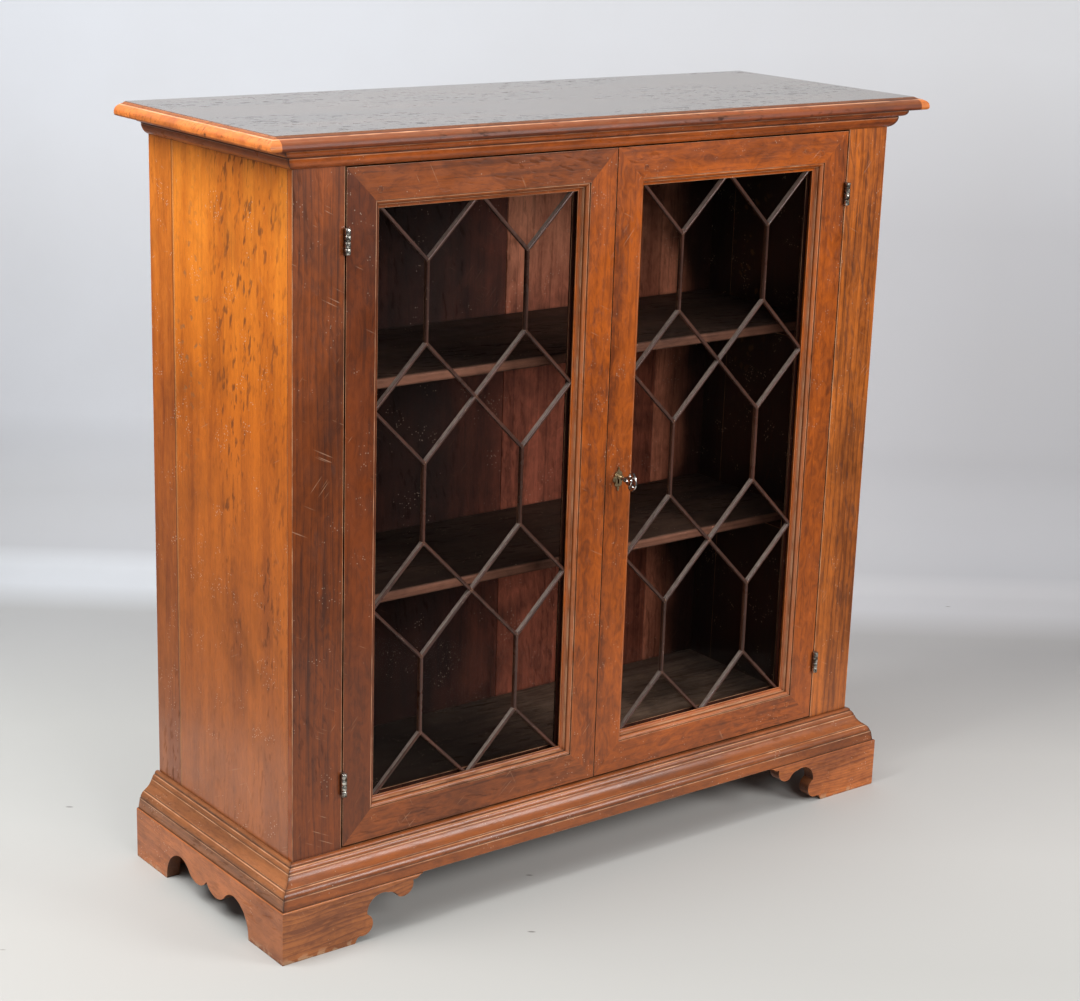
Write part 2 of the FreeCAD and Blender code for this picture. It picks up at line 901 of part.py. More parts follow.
# Doors
def member_outline(place, lean):
    """The section of a door member: flat, sticking, and the rebate for the glass behind it."""
    outline = Outline(place, NONE, NONE)
    outline.line(size.door_flat_width, NONE)
    outline.shares(
        STICKING_SHARES, size.door_flat_width, NONE, size.sticking_width, size.sticking_depth
    )
    outline.line(rebate_wall, size.sticking_depth)
    outline.line(rebate_wall, size.door_thickness)
    outline.line(lean, size.door_thickness)
    return outline


def mitre_waste(corner, across_sign, up_sign, keep_upright):
    """The waste at one end of a door member, on one side of the mitre, seen from the front."""
    reach = member_width + size.overrun
    corner_x, corner_z = corner
    outer = (corner_x - across_sign * size.overrun, corner_z - up_sign * size.overrun)
    inner = (corner_x + across_sign * reach, corner_z + up_sign * reach)
    if keep_upright:
        return polygon([outer, inner, (inner[0], outer[1])])
    return polygon([outer, inner, (outer[0], inner[1])])


def door_frame(side):
    """Two stiles and two rails, mitred at the corners."""
    name = side_name(side)
    hinge_edge = side * door_edge
    inner_edge = side * meeting_edge
    through = (front - size.overrun, door_back + size.overrun)
    members = {}
    for kind, edge, inward, lean in (
        ("hinge_stile", hinge_edge, -side, NONE),
        ("meeting_stile", inner_edge, side, size.door_edge_lean),
    ):
        outline = member_outline(
            lambda across, depth: (edge + across * inward, front + depth), lean
        )
        body = shaped(f"{name}_{kind}", "XY_Plane", outline, door_bottom, door_top)
        for height, up_sign in ((door_bottom, 1), (door_top, -1)):
            waste = mitre_waste((edge, height), inward, up_sign, True)
            cut(body, "XZ_Plane", waste, *through)
        members[kind] = body
    low, high = ends_of(hinge_edge, inner_edge)
    for kind, height, up_sign in (("bottom_rail", door_bottom, 1), ("top_rail", door_top, -1)):
        outline = member_outline(
            lambda across, depth: (front + depth, height + across * up_sign), NONE
        )
        body = shaped(f"{name}_{kind}", "YZ_Plane", outline, low, high)
        for edge, inward in ((hinge_edge, -side), (inner_edge, side)):
            waste = mitre_waste((edge, height), inward, up_sign, False)
            cut(body, "XZ_Plane", waste, *through)
        members[kind] = body
    relieve_meeting_edge(side, members)
    return members


def relieve_meeting_edge(side, members):
    """Planes the leaning meeting edge across the ends of both rails too."""
    edge = side * meeting_edge
    lean = size.door_edge_lean
    reach = size.overrun
    slope = lean / size.door_thickness
    for kind, low, high in (
        ("bottom_rail", door_bottom - reach, door_bottom + member_width),
        ("top_rail", door_top - member_width, door_top + reach),
    ):
        sliver = polygon(
            [
                (edge - side * slope * reach, front - reach),
                (edge + side * (lean + slope * reach), door_back + reach),
                (edge - side * reach, door_back + reach),
                (edge - side * reach, front - reach),
            ]
        )
        cut(members[kind], "XY_Plane", sliver, low, high)


def bar_half(values):
    """Half of a bar's section, as steps across and deep from its nose to the middle of its back."""
    nose = values["bar_width"] / 2
    web = values["bar_web_width"] / 2
    return [
        (nose, values["bar_nose_depth"]),
        (nose, values["bar_shoulder_depth"]),
        (web, values["bar_shoulder_depth"]),
        (web, values["bar_depth"]),
    ]


def bar_solid(start, end, values):
    """One glazing bar: a rounded nose on a thin web, run from start to end."""
    run = end - start
    across = FreeCAD.Vector(run).normalize().cross(DEEP)
    half = bar_half(values)
    right = [start + across * aside + DEEP * depth for aside, depth in half]
    left = [start - across * aside + DEEP * depth for aside, depth in half]
    crown = Part.Arc(left[0], start, right[0]).toShape()
    sides = Part.makePolygon(right + left[::-1])
    return Part.Face(Part.Wire([crown] + sides.Edges)).extrude(run)


def bar_joint(place, values):
    """The round joint where bars meet: half of a bar's section turned about its crown."""
    half = bar_half(values)
    nose, nose_depth = half[0]
    radius = (nose * nose + nose_depth * nose_depth) / (2 * nose_depth)
    lean = math.asin(nose / radius) / 2
    aside = radius * math.sin(lean)
    depth = radius - radius * math.cos(lean)
    corners = [place + ACROSS * step + DEEP * down for step, down in half]
    corners.append(place + DEEP * half[-1][1])
    crown = Part.Arc(place, place + ACROSS * aside + DEEP * depth, corners[0]).toShape()
    sides = Part.makePolygon(corners + [place])
    return Part.Face(Part.Wire([crown] + sides.Edges)).revolve(place, DEEP, 360)


def lattice(side):
    """The astragal lattice of one door, its bars let into the glazing rebate.

    Two columns of bars stand at a quarter and three quarters of the width. Between them and the
    frame, the bars run at a steady slope, cross once in the middle of each tall hexagon's end,
    and meet the frame at the sides.
    """
    names = ("bar_width", "bar_web_width", "bar_nose_depth", "bar_shoulder_depth", "bar_depth")
    values = {name: getattr(size, name).value for name in names}
    sight_low = (meeting_edge + member_width).value
    sight_high = (door_edge - member_width).value
    bottom = (door_bottom + member_width).value - size.lattice_end_run.value
    top = (door_top - member_width).value + size.lattice_end_run.value
    width = sight_high - sight_low + 2 * size.lattice_side_run.value
    middle = side * (sight_low + sight_high) / 2
    upright = size.lattice_upright.value
    slope_height = (top - bottom - 3 * upright) / 6
    depth = lattice_front.value

    def place(column, height):
        return FreeCAD.Vector(middle + column * width / 4, depth, height)

    bars = []
    joints = []
    level = top
    bars.append((place(-2, level), place(-1, level - slope_height)))
    bars.append((place(0, level), place(-1, level - slope_height)))
    bars.append((place(0, level), place(1, level - slope_height)))
    bars.append((place(2, level), place(1, level - slope_height)))
    level -= slope_height
    for hexagon in range(3):
        for column in (-1, 1):
            bars.append((place(column, level), place(column, level - upright)))
            joints += [place(column, level), place(column, level - upright)]
        level -= upright
        if hexagon == 2:
            break
        crossing = level - slope_height
        below = crossing - slope_height
        bars.append((place(-1, level), place(1, below)))
        bars.append((place(1, level), place(-1, below)))
        for column in (-1, 1):
            bars.append((place(column, level), place(2 * column, crossing)))
            bars.append((place(2 * column, crossing), place(column, below)))
        level = below
    for column in (-1, 1):
        bars.append((place(column, level), place(0, level - slope_height)))
        bars.append((place(column, level), place(2 * column, level - slope_height)))

    solids = [bar_solid(start, end, values) for start, end in bars]
    solids += [bar_joint(spot, values) for spot in joints]
    joined = solids[0].multiFuse(solids[1:])
    rebate = size.glazing_rebate.value
    low_x, high_x = sorted((side * (sight_low - rebate), side * (sight_high + rebate)))
    low_z = (door_bottom + rebate_wall).value
    high_z = (door_top - rebate_wall).value
    room = Part.makeBox(
        high_x - low_x,
        size.bar_depth.value,
        high_z - low_z,
        FreeCAD.Vector(low_x, depth, low_z),
    )
    feature = doc.addObject("Part::Feature", f"{side_name(side)}_glazing_bars")
    feature.Label = f"{side_name(side)}_glazing_bars"
    feature.Shape = joined.common(room).removeSplitter()
    feature.Placement = FreeCAD.Placement()
    nodes.append(feature)


def glazing(side):
    """The pane behind the bars, and the beads that hold it."""
    name = side_name(side)
    margin = size.glass_margin
    low_x = side * (meeting_edge + rebate_wall)
    high_x = side * (door_edge - rebate_wall)
    low_z = door_bottom + rebate_wall
    high_z = door_top - rebate_wall
    glass_back = lattice_back + size.glass_thickness
    board(
        f"{name}_glass",
        (low_x + side * margin, high_x - side * margin),
        (lattice_back, glass_back),
        (low_z + margin, high_z - margin),
    )
    bead = size.glazing_rebate
    depth = (glass_back, door_back)
    beads = [
        box(f"{name}_bead_inner", (low_x, low_x + side * bead), depth, (low_z, high_z)),
        box(f"{name}_bead_outer", (high_x - side * bead, high_x), depth, (low_z, high_z)),
    ]
    across = (low_x + side * bead, high_x - side * bead)
    beads.append(box(f"{name}_bead_low", across, depth, (low_z, low_z + bead)))
    beads.append(box(f"{name}_bead_high", across, depth, (high_z - bead, high_z)))
    group(f"{name}_glazing_beads", beads)


def corner_pegs(side, members):
    """Whittled eight-sided pegs, driven through the corner joints from the face."""
    name = side_name(side)
    pegs = []
    for edge, inward in ((side * door_edge, -side), (side * meeting_edge, side)):
        for height, up_sign, kind in ((door_bottom, 1, "bottom_rail"), (door_top, -1, "top_rail")):
            place_x = edge + size.peg_inset * inward
            place_z = height + size.peg_height * up_sign
            outline = octagon(place_x, place_z, size.peg_half_width)
            end = front + size.peg_length
            cut(members[kind], "XZ_Plane", outline, front - size.overrun, end)
            peg = doc.addObject("PartDesign::Body", f"{name}_peg")
            add(peg, "XZ_Plane", outline, front, end)
            pegs.append(peg)
    group(f"{name}_door_pegs", pegs)


# Hinges: brass butts let into the gap beside each door, with their barrels proud of the face
KNUCKLES = 4
KNUCKLE_FLATS = 12


def upright_cylinder(name, place_x, place_y, low, high, radius):
    cylinder = doc.addObject("Part::Cylinder", name)
    cylinder.setExpression("Radius", radius.formula)
    cylinder.setExpression("Height", (high - low).formula)
    cylinder.setExpression("Placement.Base.x", place_x.formula)
    cylinder.setExpression("Placement.Base.y", place_y.formula)
    cylinder.setExpression("Placement.Base.z", low.formula)
    return cylinder


def knuckle(name, place_x, place_y, low, high):
    """One blank of a barrel, filed in narrow flats that stay within its round."""
    prism = doc.addObject("Part::Prism", name)
    prism.Polygon = KNUCKLE_FLATS
    prism.setExpression("Circumradius", size.hinge_barrel_radius.formula)
    prism.setExpression("Height", (high - low).formula)
    prism.setExpression("Placement.Base.x", place_x.formula)
    prism.setExpression("Placement.Base.y", place_y.formula)
    prism.setExpression("Placement.Base.z", low.formula)
    return prism


def hinge_leaf(name, side, low, on_door):
    """One leaf with its own knuckles, bored for the pin. The left leaf has the top knuckle."""
    axis_x = side * hinge_axis_out
    axis_y = hinge_axis_front
    height = size.hinge_height
    inward = -side if on_door else side
    on_left = on_door == (side > 0)
    leaf_face = axis_x + size.door_side_gap / 2 * inward
    leaf_inner = leaf_face - size.hinge_leaf_thickness * inward
    plate = box(
        f"{name}_plate",
        (leaf_face, leaf_inner),
        (front, front + size.hinge_leaf_depth),
        (low, low + height),
    )
    pieces = [plate]
    pitch = height / KNUCKLES
    gap = size.hinge_knuckle_gap / 2
    for number in range(KNUCKLES):
        if (number % 2 == 1) != on_left:
            continue
        start = low + pitch * number + (gap if number else NONE)
        end = low + pitch * (number + 1) - (gap if number < KNUCKLES - 1 else NONE)
        pieces.append(knuckle(f"{name}_knuckle", axis_x, axis_y, start, end))
        pieces.append(
            box(f"{name}_neck", (leaf_face, leaf_inner), (axis_y, front), (start, end))
        )
    whole = doc.addObject("Part::MultiFuse", f"{name}_blank")
    whole.Shapes = pieces
    bore = upright_cylinder(
        f"{name}_bore",
        axis_x,
        axis_y,
        low - size.overrun,
        low + height + size.overrun,
        size.hinge_pin_radius + size.hinge_pin_clearance,
    )
    leaf = doc.addObject("Part::Cut", name)
    leaf.Base = whole
    leaf.Tool = bore
    return leaf


def hinge_pin(name, side, low):
    """A plain pin, filed flush with the ends of the barrel."""
    return upright_cylinder(
        name,
        side * hinge_axis_out,
        hinge_axis_front,
        low,
        low + size.hinge_height,
        size.hinge_pin_radius,
    )


def hinges(side):
    name = side_name(side)
    lows = (
        door_bottom + size.hinge_from_end - size.hinge_height / 2,
        door_top - size.hinge_from_end - size.hinge_height / 2,
    )
    door_leaves = []
    for number, low in enumerate(lows):
        hinge_frame_leaves.append(hinge_leaf(f"{name}_frame_leaf_{number}", side, low, False))
        door_leaves.append(hinge_leaf(f"{name}_door_leaf_{number}", side, low, True))
        hinge_pins.append(hinge_pin(f"{name}_pin_{number}", side, low))
    group(f"{name}_hinge_door_leaves", door_leaves)


# Lock on the right door, its bolt, the key and the escutcheon
key_x = meeting_edge + size.keyhole_from_edge
key_z = size.keyhole_height
lock_low_x = meeting_edge + size.door_edge_lean
lock_high_x = lock_low_x + size.lock_width
lock_low_z = key_z - size.lock_height * LOCK_DROP_SHARE
lock_high_z = lock_low_z + size.lock_height
lock_front = door_back - size.lock_depth
bolt_low_z = key_z + size.bolt_rise - size.bolt_height / 2
bolt_high_z = bolt_low_z + size.bolt_height
bolt_front = lock_front + size.lock_wall + size.bolt_clearance
bolt_back = bolt_front + size.bolt_thickness


def keyhole_cuts(body, low, high):
    """A round hole with a slot below it, for the shank and the bit."""
    hole = Circle(key_x, key_z, size.key_shank_radius + size.keyhole_clearance)
    cut(body, "XZ_Plane", hole, low, high)
    half = size.keyhole_slot_width / 2
    slot = rectangle(key_x - half, key_x + half, key_z - size.keyhole_slot_drop, key_z)
    cut(body, "XZ_Plane", slot, low, high)


def lock(stile):
    """The lock let into the back of the right door's meeting stile."""
    reach = size.overrun
    recess = rectangle(meeting_edge - reach, lock_high_x, lock_front, door_back + reach)
    cut(stile, "XY_Plane", recess, lock_low_z, lock_high_z)
    keyhole_cuts(stile, front - reach, lock_front + reach)

    case = shaped(
        "lock_case",
        "XZ_Plane",
        rectangle(lock_low_x, lock_high_x, lock_low_z, lock_high_z),
        lock_front,
        door_back,
    )
    clear = size.bolt_clearance
    channel_end = lock_low_x + size.bolt_length + clear
    channel = rectangle(
        lock_low_x - reach, channel_end, bolt_front - clear, bolt_back + clear
    )
    cut(case, "XY_Plane", channel, bolt_low_z - clear, bolt_high_z + clear)
    keyhole_cuts(case, lock_front - reach, lock_front + size.lock_wall)
    chamber = square(key_x, key_z, size.keyhole_slot_drop * 2)
    chamber_back = lock_front + size.lock_wall + size.key_bit_width + clear * 2
    cut(case, "XZ_Plane", chamber, lock_front + size.lock_wall, chamber_back)

    bolt = shaped(
        "lock_bolt",
        "XZ_Plane",
        rectangle(lock_low_x, lock_low_x + size.bolt_length, bolt_low_z, bolt_high_z),
        bolt_front,
        bolt_back,
    )
    return case, bolt


def bolt_mortise(stile):
    """The mortise in the left door's meeting stile that the lock bolt enters."""
    clear = size.bolt_clearance * 2
    depth = size.bolt_throw + size.door_edge_lean * 2 + clear
    mortise = rectangle(
        -meeting_edge - depth, -meeting_edge + size.overrun, bolt_front - clear, bolt_back + clear
    )
    cut(stile, "XY_Plane", mortise, bolt_low_z - clear, bolt_high_z + clear)


def escutcheon():
    """A pierced keyhole plate with scalloped edges and pointed ends."""
    half_across = size.escutcheon_width / 2
    half_up = size.escutcheon_height / 2
    downwards = ESCUTCHEON_SHARES
    upwards = [
        (across, down, following[2])
        for (across, down, _), following in zip(downwards[-2::-1], downwards[::-1])
    ]
    tip_bulge_share = downwards[0][2]
    middle = key_z - size.escutcheon_drop
    outline = Outline(flat, key_x, middle + half_up)
    quarters = (
        (1, 1, downwards),
        (1, -1, upwards + [(0, 1, tip_bulge_share)]),
        (-1, -1, downwards),
        (-1, 1, upwards),
    )
    for across_sign, up_sign, rows in quarters:
        outline.shares(
            rows, key_x, middle, half_across * across_sign, half_up * up_sign
        )
    outline.close_arc(half_across * tip_bulge_share)
    plate_front = front - size.escutcheon_thickness
    plate = shaped("escutcheon", "XZ_Plane", outline, plate_front, front)
    keyhole_cuts(plate, plate_front - size.overrun, front + size.overrun)


def key():
    """A steel key with a pierced bow, standing in the lock."""
    body = new_body("key")
    bit_back = lock_front + size.lock_wall + size.bolt_clearance + size.key_bit_width
    shank_front = front - size.key_shank_out
    add(body, "XZ_Plane", Circle(key_x, key_z, size.key_shank_radius), shank_front, bit_back)
    collar = Circle(key_x, key_z, size.key_collar_radius)
    add(body, "XZ_Plane", collar, shank_front, shank_front + size.key_collar_length)
    half = size.key_bit_thickness / 2
    bit = rectangle(key_x - half, key_x + half, key_z - size.key_bit_length - half, key_z)
    add(body, "XZ_Plane", bit, bit_back - size.key_bit_width, bit_back)
    key_bow(body, shank_front)


def key_bow(body, shank_front):
    """The bow: a middle ring, a smaller ring on each side, and a curved bar round their ends."""
    half_thickness = size.key_bow_thickness / 2
    sides = (key_x - half_thickness, key_x + half_thickness)
    rings = [(size.key_ring_out, NONE, size.key_ring_radius, size.key_ring_bore)]
    ear_aside = size.key_bow_width / 2 - size.key_ear_radius
    for sign in (-1, 1):
        ear = (size.key_ear_out, ear_aside * sign, size.key_ear_radius, size.key_ear_bore)
        rings.append(ear)
    for out, aside, radius, _ in rings:
        add(body, "YZ_Plane", Circle(shank_front - out, key_z + aside, radius), *sides)

    bar_y = shank_front - size.key_bar_out
    inner_y = bar_y + size.key_bar_end
    aside = size.key_bow_width / 2
    inner_aside = aside - size.key_bar_end
    bulge = size.key_bow_length - size.key_bar_out
    bar = Outline(flat, inner_y, key_z - inner_aside)
    bar.line(bar_y, key_z - aside)
    bar.arc(bar_y, key_z + aside, bulge)
    bar.line(inner_y, key_z + inner_aside)
    bar.close_arc(size.key_bar_width - size.key_bar_end - bulge)
    add(body, "YZ_Plane", bar, *sides)

    through = (sides[0] - size.overrun, sides[1] + size.overrun)
    for out, aside, _, bore in rings:
        cut(body, "YZ_Plane", Circle(shank_front - out, key_z + aside, bore), *through)


# Flush bolts let into the meeting edge of the left door
flush_edge = -(meeting_edge + size.door_edge_lean)
flush_plate_back = flush_edge - size.flush_plate_thickness
flush_bolt_x = flush_edge - size.flush_bolt_inset
flush_bolt_y = front + size.door_thickness / 2
flush_plate_low_y = flush_bolt_y - size.flush_plate_width / 2
flush_plate_high_y = flush_bolt_y + size.flush_plate_width / 2
flush_slot_low_y = flush_bolt_y - size.flush_slot_width / 2
flush_slot_high_y = flush_bolt_y + size.flush_slot_width / 2


def flush_bolt_channel():
    return square(
        flush_bolt_x, flush_bolt_y, size.flush_bolt_width + size.flush_bolt_clearance * 2
    )


def flush_bolt(name, end, up, stile, rail):
    """A bolt sliding behind a slotted brass plate, at one end of the door's edge."""
    reach = size.overrun
    low_z, high_z = ends_of(end, end - size.flush_plate_height * up)
    low_cut, high_cut = ends_of(end + reach * up, end - size.flush_plate_height * up)
    recess = rectangle(flush_plate_back, reach, flush_plate_low_y, flush_plate_high_y)
    for body in (stile, rail):
        cut(body, "XY_Plane", recess, low_cut, high_cut)
        cut(body, "XY_Plane", flush_bolt_channel(), low_cut, high_cut)

    middle = (low_z + high_z) / 2
    slot_low = middle - size.flush_slot_length / 2
    slot_high = middle + size.flush_slot_length / 2
    neck = rectangle(flush_bolt_x, flush_plate_back, flush_slot_low_y, flush_slot_high_y)
    cut(stile, "XY_Plane", neck, slot_low, slot_high)
    plate = doc.addObject("Part::Cut", f"flush_plate_{name}")
    plate.Base = box(
        f"flush_plate_{name}_blank",
        (flush_plate_back, flush_edge),
        (flush_plate_low_y, flush_plate_high_y),
        (low_z, high_z),
    )
    plate.Tool = box(
        f"flush_plate_{name}_slot",
        (flush_plate_back - reach, flush_edge + reach),
        (flush_slot_low_y, flush_slot_high_y),
        (slot_low, slot_high),
    )

    bolt_end = end - size.flush_bolt_back * up
    bar = square(flush_bolt_x, flush_bolt_y, size.flush_bolt_width)
    bar_ends = ends_of(bolt_end, bolt_end - size.flush_bolt_length * up)
    bolt = shaped(f"flush_bolt_{name}", "XY_Plane", bar, *bar_ends)
    thumb_z = middle - size.flush_bolt_travel / 2 * up
    thumb = square(flush_bolt_y, thumb_z, size.flush_thumb_width)
    add(bolt, "YZ_Plane", thumb, flush_bolt_x, flush_edge)
    return plate


def flush_bolts(members):
    stile = members["meeting_stile"]
    plates = [
        flush_bolt("top", door_top, 1, stile, members["top_rail"]),
        flush_bolt("bottom", door_bottom, -1, stile, members["bottom_rail"]),
    ]
    group("flush_bolt_plates", plates)


top_board()
mouldings("cornice", CORNICE_SHARES, size.cornice_out, top_under, size.cornice_height, back)
mouldings(
    "base_moulding",
    BASE_MOULDING_SHARES,
    size.base_moulding_out,
    base_top,
    size.base_moulding_height,
    base_back,
)
side_boards()
face_frame()
carcass_inside()
back_boards()
shelf("upper", size.upper_shelf_top, size.upper_shelf_setback)
shelf("lower", size.lower_shelf_top, size.lower_shelf_setback)
group("shelf_cleats", shelf_cleats)
for hand in (-1, 1):
    front_foot(hand)
    side_apron(hand)
    rear_foot(hand)
glue_blocks()
for hand in (-1, 1):
    door_members = door_frame(hand)
    corner_pegs(hand, door_members)
    if hand < 0:
        flush_bolts(door_members)
        bolt_mortise(door_members["meeting_stile"])
    else:
        lock(door_members["meeting_stile"])
    lattice(hand)
    glazing(hand)
    hinges(hand)
group("hinge_frame_leaves", hinge_frame_leaves)
group("hinge_pins", hinge_pins)
escutcheon()
key()

doc.recompute()

# Nothing is written unless every feature is sound
for item in doc.Objects:
    if "Invalid" in item.State or "Error" in item.State:
        raise RuntimeError(f"{item.Label} did not build: {item.State}")
for node in nodes:
    if node.Shape.isNull() or not node.Shape.isValid():
        raise RuntimeError(f"{node.Label} has no valid shape")
os.makedirs("parts", exist_ok=True)
for node in nodes:
    node.Shape.exportStep(f"parts/{node.Label}.step")
print(len(nodes), "pieces written")
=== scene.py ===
import bmesh
import bpy
import json
import math
from mathutils import Matrix, Vector


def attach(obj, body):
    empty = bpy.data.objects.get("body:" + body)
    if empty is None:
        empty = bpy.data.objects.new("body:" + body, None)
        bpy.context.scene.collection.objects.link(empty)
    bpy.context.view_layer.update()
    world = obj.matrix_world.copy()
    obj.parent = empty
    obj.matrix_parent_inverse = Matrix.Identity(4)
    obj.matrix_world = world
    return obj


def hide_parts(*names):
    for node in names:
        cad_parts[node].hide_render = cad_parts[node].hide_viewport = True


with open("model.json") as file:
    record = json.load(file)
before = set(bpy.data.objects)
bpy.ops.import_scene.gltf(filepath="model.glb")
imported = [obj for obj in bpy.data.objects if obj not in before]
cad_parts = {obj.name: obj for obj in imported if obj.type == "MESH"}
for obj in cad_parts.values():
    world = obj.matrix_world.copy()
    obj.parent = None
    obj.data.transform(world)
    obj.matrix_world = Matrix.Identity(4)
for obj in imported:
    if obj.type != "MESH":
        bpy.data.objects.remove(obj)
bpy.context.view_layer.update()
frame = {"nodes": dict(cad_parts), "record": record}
nodes = frame["nodes"]
body_of_node = {
    name: body for body, names in frame["record"]["behaviour"]["bodies"].items() for name in names
}

# The camera, as the photograph was taken: place in metres, turns in degrees, lens in millimetres
CAMERA_PLACE = (-1.94655, -2.52982, 1.44408)
CAMERA_YAW = -37.7836
CAMERA_PITCH = 16.3996
CAMERA_ROLL = 1.8289
CAMERA_LENS = 75.86
CAMERA_SENSOR = 36


def add_camera():
    yaw = math.radians(CAMERA_YAW)
    pitch = math.radians(CAMERA_PITCH)
    roll = math.radians(CAMERA_ROLL)
    back = Vector(
        (math.sin(yaw) * math.cos(pitch), -math.cos(yaw) * math.cos(pitch), math.sin(pitch))
    )
    right = (-back).cross(Vector((0, 0, 1))).normalized()
    up = right.cross(-back)
    rolled_right = right * math.cos(roll) + up * math.sin(roll)
    rolled_up = up * math.cos(roll) - right * math.sin(roll)
    lens = bpy.data.cameras.new("camera")
    lens.lens = CAMERA_LENS
    lens.sensor_width = CAMERA_SENSOR
    lens.sensor_fit = "HORIZONTAL"
    camera = bpy.data.objects.new("camera", lens)
    bpy.context.scene.collection.objects.link(camera)
    turn = Matrix((rolled_right, rolled_up, back)).transposed().to_4x4()
    camera.matrix_world = Matrix.Translation(CAMERA_PLACE) @ turn
    bpy.context.scene.camera = camera


# The solid core of a spot as a share of its size, and the blur at the edge of a line in metres
SPOT_CORE = 0.55
LINE_BLUR = 0.0002


class Graph:
    """Short calls for the shader nodes that the finishes use."""

    def __init__(self, tree):
        self.tree = tree

    def put(self, socket, value):
        if isinstance(value, bpy.types.NodeSocket):
            self.tree.links.new(value, socket)
        elif value is not None:
            socket.default_value = value

    def fill(self, node, inputs):
        """Gives a node's inputs, named or in their order, a value or a link each."""
        pairs = inputs.items() if isinstance(inputs, dict) else enumerate(inputs)
        for key, value in pairs:
            self.put(node.inputs[key], value)

    def node(self, kind, inputs=(), **settings):
        made = self.tree.nodes.new(kind)
        for name, value in settings.items():
            setattr(made, name, value)
        self.fill(made, inputs)
        return made

    def math(self, operation, first, second=None, clamp=False):
        made = self.node("ShaderNodeMath", (first, second), operation=operation, use_clamp=clamp)
        return made.outputs[0]

    def times(self, first, second):
        return self.math("MULTIPLY", first, second)

    def plus(self, first, second):
        return self.math("ADD", first, second)

    def minus(self, first, second):
        return self.math("SUBTRACT", first, second)

    def off(self, value, centre):
        """How far a value is from a centre, either way."""
        return self.math("ABSOLUTE", self.minus(value, centre))

    def vector_math(self, operation, first, second):
        return self.node("ShaderNodeVectorMath", (first, second), operation=operation).outputs[0]

    def stretch(self, vector, factors):
        return self.vector_math("MULTIPLY", vector, factors)

    def scaled(self, vector, factor):
        inputs = {0: vector, "Scale": factor}
        return self.node("ShaderNodeVectorMath", inputs, operation="SCALE").outputs[0]

    def slanted(self, vector, angle):
        """Grain coordinates turned in the face, because some marks lie askew to the grain."""
        inputs = {"Vector": vector, "Angle": angle}
        return self.node("ShaderNodeVectorRotate", inputs, rotation_type="Z_AXIS").outputs[0]

    def split(self, vector):
        return self.node("ShaderNodeSeparateXYZ", (vector,)).outputs

    def coordinates(self, kind):
        return self.node("ShaderNodeTexCoord").outputs[kind]

    def noise(self, vector, scale, detail=2.0, roughness=0.5, distortion=0.0, output="Fac"):
        inputs = {
            "Vector": vector,
            "Scale": scale,
            "Detail": detail,
            "Roughness": roughness,
            "Distortion": distortion,
        }
        return self.node("ShaderNodeTexNoise", inputs).outputs[output]

    def stretched_noise(self, vector, factors, *settings, **output):
        return self.noise(self.stretch(vector, factors), 1.0, *settings, **output)

    def spots(self, vector, factors, size, share):
        """Round spots, stretched as the vector is: a share of the cells has one."""
        inputs = {"Vector": self.stretch(vector, factors), "Scale": 1.0}
        cells = self.node("ShaderNodeTexVoronoi", inputs, feature="F1")
        inside = self.remap(cells.outputs["Distance"], size, size * SPOT_CORE)
        parts = self.node("ShaderNodeSeparateColor", (cells.outputs["Color"],))
        return self.times(inside, self.math("LESS_THAN", parts.outputs[0], share))

    def remap(self, value, low, high, to_low=0.0, to_high=1.0, curve="LINEAR"):
        inputs = (value, low, high, to_low, to_high)
        return self.node("ShaderNodeMapRange", inputs, interpolation_type=curve).outputs[0]

    def between(self, value, low, high):
        """One inside a narrow band and nothing outside it, with soft edges."""
        rising = self.remap(value, low - LINE_BLUR, low + LINE_BLUR)
        falling = self.remap(value, high - LINE_BLUR, high + LINE_BLUR, 1.0, 0.0)
        return self.times(rising, falling)

    def mix(self, share, first, second):
        inputs = {0: share, 6: first, 7: second}
        return self.node("ShaderNodeMix", inputs, data_type="RGBA").outputs[2]

    def bump(self, height, distance, strength=1.0):
        inputs = {"Height": height, "Distance": distance, "Strength": strength}
        return self.node("ShaderNodeBump", inputs).outputs[0]


def srgb(red, green, blue):
    """A colour written in the usual 0 to 255, as a shader's linear colour."""

    def linear(channel):
        share = channel / 255
        return share / 12.92 if share <= 0.04045 else ((share + 0.055) / 1.055) ** 2.4

    return (linear(red), linear(green), linear(blue), 1.0)


def new_material(name):
    material = bpy.data.materials.new(name)
    material.use_nodes = True
    material.node_tree.nodes.clear()
    graph = Graph(material.node_tree)
    shader = graph.node("ShaderNodeBsdfPrincipled")
    graph.node("ShaderNodeOutputMaterial", {"Surface": shader.outputs[0]})
    return material, graph, shader


# Which way the grain runs: along it, across the face, and into the board
GRAINS = {
    "x_face_y": "xzy",
    "x_face_z": "xyz",
    "y_face_x": "yzx",
    "z_face_x": "zyx",
    "z_face_y": "zxy",
}

# How often each pattern repeats in a metre along, across and into the board, and then its detail,
# roughness and distortion
PATTERNS = {
    "curl": ((34.0, 70.0, 70.0), 3.0, 0.6, 1.4),
    "gather": ((2.6, 9.0, 9.0), 2.0),
    "streaks": ((7.0, 170.0, 170.0), 2.0, 0.6),
    "waves": ((9.0, 26.0, 26.0), 1.0),
    "ripples": ((30.0, 110.0, 110.0), 2.0, 0.6),
    "drift": ((1.3, 5.0, 5.0), 3.0),
    "uneven": ((3.0, 60.0, 60.0), 2.0),
    "fibre": ((9.0, 420.0, 420.0), 3.0, 0.6),
    "pores": ((70.0, 1500.0, 1500.0), 1.0),
    "figure": ((2.6, 24.0, 24.0), 4.0, 0.62),
}

